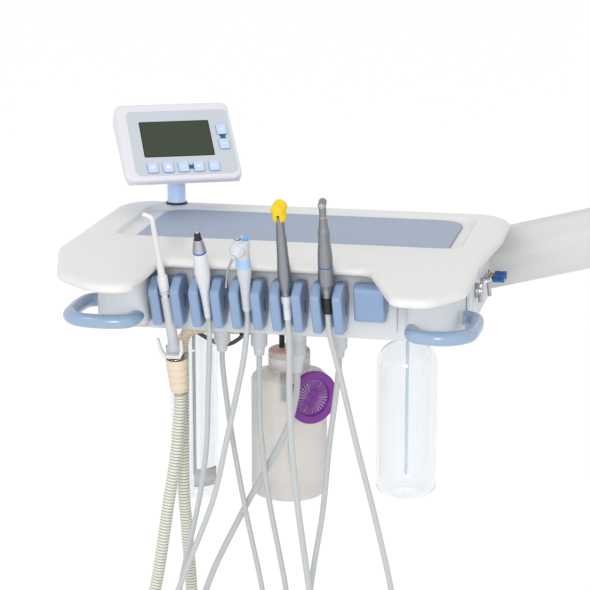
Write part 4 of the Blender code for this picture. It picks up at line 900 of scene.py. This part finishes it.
def console_shell(face):
    """The front shell: level rings of its outline, shrunk near the face. Its back leans with the split."""
    low, high, half = -77, 91.5, 89
    split_low, split_high = 33.5, 4
    verts, faces = [], []
    rings = 12
    count = None
    for ring in range(rings):
        t = ring / (rings - 1)
        angle = t * math.pi / 2
        drop = lambda top: top * (1 - math.sin(angle))
        pull = lambda top: top * (1 - math.cos(angle))
        side, foot, crown = 5.5, 5.5, 12.5
        outline = rounded([(-half + side * (1 - math.sin(math.pi / 2 - angle)), low + pull(foot), 17),
                           (half - pull(side), low + pull(foot), 17), (half - pull(side), high - pull(crown), 12),
                           (-half + pull(side), high - pull(crown), 12)], 8)
        for x, y in outline:
            k = (y - low) / (high - low)
            depth = foot + (crown - foot) * max(0, min(1, k)) ** 3
            verts.append((x, y, face - drop(depth)))
        count = len(outline)
    back = rounded([(-half, low, 17), (half, low, 17), (half, high, 12), (-half, high, 12)], 8)
    start = len(verts)
    verts += [(x, y, split_low + (split_high - split_low) * (y - low) / (high - low)) for x, y in back]
    for ring in range(rings - 1):
        for i in range(count):
            j = (i + 1) % count
            faces.append((ring * count + i, ring * count + j, (ring + 1) * count + j, (ring + 1) * count + i))
    for i in range(count):
        j = (i + 1) % count
        faces.append((start + i, start + j, j, i))
    faces.append(tuple(range((rings - 1) * count, rings * count)))
    faces.append(tuple(range(start, start + count))[::-1])
    return make("console_shell", verts, faces, ("shell",), smooth=50)


def build_console():
    at = console_place()
    face = FACE_OUT - 1.2
    shell = console_shell(face)
    overlay = slab("overlay", rounded([(-73.5, -69, 13), (83.5, -69, 13), (83.5, 69, 8),
                                       (-73.5, 69, 8)], 8), face - 0.2, face + 0.4, 0.2, 2, "overlay")
    edge = slab("display_edge", rounded(rectangle(-56, 52.4, -30.2, 46.2, 2), 4), face, face + 0.6, 0.2, 2,
                "lcd_edge")
    bow_ties = []
    for pair in (("less", "more"), ("down", "up")):
        (x0, y0), (x1, y1) = [KEY_PLACES[key] for key in pair]
        middle = Vector(((x0 + x1) / 2, (y0 + y1) / 2))
        along = Vector((x1 - x0, y1 - y0)).normalized()
        across = Vector((-along.y, along.x))
        reach = Vector((x1 - x0, y1 - y0)).length / 2 - (7.4 if y0 == y1 else 10.4)
        corners = [(-reach, -5.8), (0, -3.6), (reach, -5.8), (reach, 5.8), (0, 3.6), (-reach, 5.8)]
        shape = [tuple(middle + along * a + across * b) for a, b in corners]
        bow_ties.append(slab("bow_tie", shape, face, face + 0.6, 0, 1, "navy"))
    rings = [slab("key_ring", rounded(rectangle(x - 8.8, x + 8.8, y - 11.6, y + 11.6, 3.6), 6), face,
                  face + 0.6, 0.2, 2, "key_line") for x, y in KEY_PLACES.values()]
    front = merged("console_shell", [shell, overlay, edge, *bow_ties, *rings])
    put(front, "console", ["console_front"], at)
    window = slab("display", rounded(rectangle(-54.5, 50.9, -28.7, 44.7, 1), 3), face, face + 0.9, 0.2, 2,
                  "lcd")
    put(window, "console", ["console_screen"], at)
    for name, (x, y) in KEY_PLACES.items():
        pad = rounded(rectangle(-7.8, 7.8, -10.6, 10.6, 3), 6)
        cap = slab("key", pad, face + 1.2, face + 2.2, 0.4, 2, "key")
        key = merged(f"{name}_key", [cap, *mark(SYMBOLS[name], face + 2.1)])
        put(key, f"button_{name}", [f"key_{name}"], at @ moved((x, y, 0)))

    post_at = moved(HEAD + POST_AT) @ turned(CONSOLE_YAW, "Z")
    column = lathe("column", [(0, 0.2), (16.5, 0.2), (16.8, 1.2), (16, 3.4), (14.1, 3.6), (14, 46),
                              (13.2, 47.2), (0, 47.2)], ("navy", (1.8, "black"), (3.55, "post")), 56)
    lug = box("lug", (-9, -10, 40), (9, 10, TILT_AXIS_Z), 2, "post")
    eye = lathe("eye", [(0, -9), (10, -9), (10, 9), (0, 9)], "post", 40)
    pin = lathe("pin", [(0, -19), (3.6, -19), (4, -18.4), (4, 18.4), (3.6, 19), (0, 19)],
                "steel", 28)
    for part in (eye, pin):
        part.matrix_world = moved((0, 0, TILT_AXIS_Z)) @ turned(math.pi / 2, "Y")
    post = merged("console_column", [column, lug, eye, pin])
    put(post, "console_swivel", ["console_post"], post_at)


# ---------------------------------------------------------------- bottles and what hangs under the head
BOTTLES = {
    "water": (169.5, 30, 44.5, -383, -150, 36, 10, 16, -135.3),
    "coolant": (-6.2, 30, 56, -393, -206.5, 11, 4, 27, -200.3),
    "waste": (-151, 30, 36, -407, -160, 18, 16, 16, -135.3),
}
CAP_TOP = {"water": -113, "coolant": -170, "waste": -113}


def bottle_outer(radius, low, shoulder, corner, rise, neck, top):
    """The outside from the neck's lip down to the middle of the floor, which domes up a little."""
    centre = Vector((radius - corner, shoulder - corner))
    dome = [(centre.x + corner * math.cos(a), centre.y + corner * math.sin(a))
            for a in [math.radians(step * 9) for step in range(9)]]
    dome = [(x, z) for x, z in dome if x > neck + 2]
    toe = min(corner, 0.34 * radius)
    foot = [(radius - toe + toe * math.cos(a), low + toe - toe * math.sin(a))
            for a in [math.radians(step * 10) for step in range(10)]]
    return [(neck, top), (neck, shoulder + rise * 0.7), *dome[::-1], *foot,
            (radius * 0.45, low + 2.2), (0, low + 3)]


def build_bottles():
    for name, (x, y, radius, low, *shape) in BOTTLES.items():
        outer = bottle_outer(radius, low, *shape)
        wall = 1.2
        inner = [(max(r - wall, 0), z + (wall if z < low + 20 else 0)) for r, z in outer]
        glass = lathe(f"{name}_bottle_wall", inner[::-1] + outer, "milky" if name == "coolant" else "clear", 64,
                      round_steps=1)
        put(glass, f"{name}_bottle", [f"bottle_{name}"],
            moved(HEAD + Vector((x, y, 0))))
    x, y = BOTTLES["waste"][:2]
    radius = BOTTLES["waste"][2] + 0.3
    verts, faces = [], []
    for index in range(13):
        angle = math.radians(-78 + index * 5.2)
        verts += [(radius * math.cos(angle), radius * math.sin(angle), z) for z in (-384, -356)]
    faces = [(2 * i, 2 * i + 2, 2 * i + 3, 2 * i + 1) for i in range(12)]
    blank = make("waste_label", verts, faces, ("label",))
    thick = blank.modifiers.new("thick", "SOLIDIFY")
    thick.thickness = 0.2 * MM
    thick.offset = 1
    put(blank, "waste_bottle", place=moved(HEAD + Vector((x, y, 0))))

    caps = [slab("rail", rounded(rectangle(-165, 184, 20, 40, 4), 4), -114.8, -112.3, 0.6, 2, "grey_plastic")]
    for name, (x, y, radius, low, *rest) in BOTTLES.items():
        neck, top = rest[-2], CAP_TOP[name]
        outer, depth = neck + 4, 30 if name == "coolant" else 22
        keys = ("cap_skirt", (top - 4.5, "pink_cap")) if name == "coolant" else ("grey_plastic",)
        cap = lathe("cap", [(0, top - depth), (outer - 0.8, top - depth), (outer, top - depth + 1),
                            (outer, top - 5), (outer - 1, top - 2.2), (outer - 4.5, top - 0.4), (0, top)],
                    keys, 144, (36, 1, top - depth + 2, top - 6))
        ring = lathe("cap_ring", [(outer - 2, top - depth * 0.42), (outer + 0.3, top - depth * 0.42),
                                  (outer + 0.3, top - depth * 0.36), (outer - 2, top - depth * 0.36)],
                     keys[0], 64)
        tube = sweep("dip_tube", [(0, 0, top - depth), (0, 0, (top + low) / 2), (0, 0, low + 30)],
                     2.4, 16, "light_grey" if name != "water" else "tube_pale")
        for part in (cap, ring, tube):
            part.matrix_world = moved((x, y, 0))
            caps.append(part)
    x, y = BOTTLES["coolant"][:2]
    caps.append(sweep("feed", [(x - 11, y, -172), (x - 11, y, -150), (x - 11, y, -114)], 4.2, 24, "black"))
    caps.append(sweep("insert", [(x - 6, y - 10, -200.5), (x - 6, y - 10, -225), (x - 6, y - 10, -248)],
                      5.8, 24, "slate"))
    x, y = BOTTLES["waste"][:2]
    caps.append(sweep("pick_up", [(x - 15.5, y - 8, -176), (x - 15.5, y - 8, -280), (x - 15.5, y - 8, -392)],
                      5.8, 28, "slate"))
    caps.append(sweep("pick_up_line", [(x - 10, y - 10, -136), (x - 10, y - 10, -160),
                                       (x - 10, y - 10, -178)], 2.5, 16, "black"))
    put(merged("bottle_heads", caps), "head", ["bottle_caps"], IN_HEAD)


def build_disc():
    """The round slotted holder: a thick rim round a sunk plate with narrow slots like a clock's marks."""
    heading = math.radians(41)
    outward = Vector((math.sin(heading), -math.cos(heading), 0))
    x, y, radius = BOTTLES["coolant"][:3]
    along = (math.cos(heading), math.sin(heading), 0)
    at = aimed(HEAD + Vector((x, y, -229)) + outward * (radius + 13), outward, along)
    rim = lathe("rim", [(0, -4), (37, -4), (39.2, -3), (39.5, 1.5), (38.8, 3.4), (37, 4),
                        (30, 4), (27.8, 3), (26.8, 1), (26.2, -0.6), (0, -0.6)],
                "purple", 72)
    stem = lathe("stem", [(0, -11.6), (7, -11.6), (7, -3.8), (0, -3.8)], "purple", 32)
    parts = [rim, stem]
    sectors = 30
    for number in range(sectors):
        angle = 2 * math.pi * number / sectors
        half = math.pi / sectors
        low, high = [(0.52, 3) if (number + side) % 5 == 0 else (0.62, 10) for side in (0, 1)]
        edges = [[(start, sign * start * half), (start + 1, sign * (start + 1) * half * share),
                  (23.5, sign * 23.5 * half * (share + 0.06)), (25.2, sign * 25.2 * half)]
                 for sign, (share, start) in ((-1, low), (1, high))]
        petal = slab("petal", [(0.4, 0), *edges[0], *edges[1][::-1]], -0.7, 1, 0, 1, "purple")
        petal.matrix_world = turned(angle, "Z")
        parts.append(petal)
    floor = lathe("well_floor", [(0, -0.7), (25.8, -0.7), (25.8, -0.4), (0, -0.4)], "slot_light", 64)
    parts.append(floor)
    put(merged("slotted_holder", parts), "coolant_bottle", ["slotted_disc"], at)


def build_underside():
    top = BODY_BOTTOM - GAP
    parts = [slab("strip", rounded(rectangle(-94, 107, GLAND_Y - 13, GLAND_Y + 13, 6)), top - 2, top, 0.6, 2,
                  "light_grey")]
    for name, x in GLAND_X.items():
        depth, hose = GLAND_DEPTH[name], HOSE_RADII[name]
        wide = 13 if name == "turbine" else 11.8
        rings = grooved(wide, -depth * 0.55, -depth * 0.12, 8 if name == "turbine" else 1, 0.6)[:-2]
        profile = [(0, -depth), (hose + 2.6, -depth), (hose + 3.2, -depth + 1), (wide - 3.6, -depth * 0.70),
                   (wide - 3, -depth * 0.68), (wide, -depth * 0.58), *rings, (wide + 0.4, -depth * 0.06),
                   (wide + 1, 0), (0, 0)]
        gland = lathe("gland", profile, "light_grey", 44)
        gland.matrix_world = moved((x, GLAND_Y, top - 0.5))
        parts.append(gland)
    put(merged("gland_strip", parts), "head", ["hose_glands"], IN_HEAD)

    pipe = smooth_route([(-58, -55, -122.5), (-90, -58, -122.5), (-122, -62, -123), (-137, -67, -130),
                         tuple(PIPE_END + Vector((0, 0, 10))), tuple(PIPE_END)], 132)
    swell = [8.8 - 1.3 * (0.5 - 0.5 * math.cos(2 * math.pi * i / 6)) for i in range(132)]
    loop = smooth_route([(-148, -40, -116), (-138, -40, -127), (-112, -42, -143),
                         (-85, -42, -151), (-64, -40, -140), (-55, -38, -124)], 60)
    pieces = [sweep("pipe", pipe, swell, 28, "cream"), sweep("loop", loop, 3, 20, "dark"),
              box("connector", (-60, -64, -131), (-46, -33, -115), 1.6, "black")]
    put(merged("drain_pipes", pieces), "head", ["under_pipes"], IN_HEAD)


# ---------------------------------------------------------------- the valves on the right side
def build_valves():
    side = 270.6
    for name, y, z, key in (("front", 129, -75, "navy_knob"), ("rear", 160, -77, "navy_knob")):
        knob = lathe(f"{name}_needle_knob", [(0, 0.2), (5, 0.2), (5.8, 1), (6, 1.6), (6, 8.5),
                                             (5.2, 9), (5.2, 10), (6, 10.5), (6, 17),
                                             (5.2, 18), (0, 18)], key, 96, (24, 0.6, 1.2, 17.2))
        place = moved(HEAD + Vector((side + 9.3, y, z))) @ turned(math.pi / 2, "Y")
        put(knob, f"needle_{name}", [f"knob_{name}"], place)


build_stage()
build_suction()
build_scaler()
build_syringe()
build_turbine()
build_motor()
build_hoses()
build_tray()
build_body()
build_handles()
build_holders()
build_console()
build_bottles()
build_disc()
build_underside()
build_valves()
dress_all()
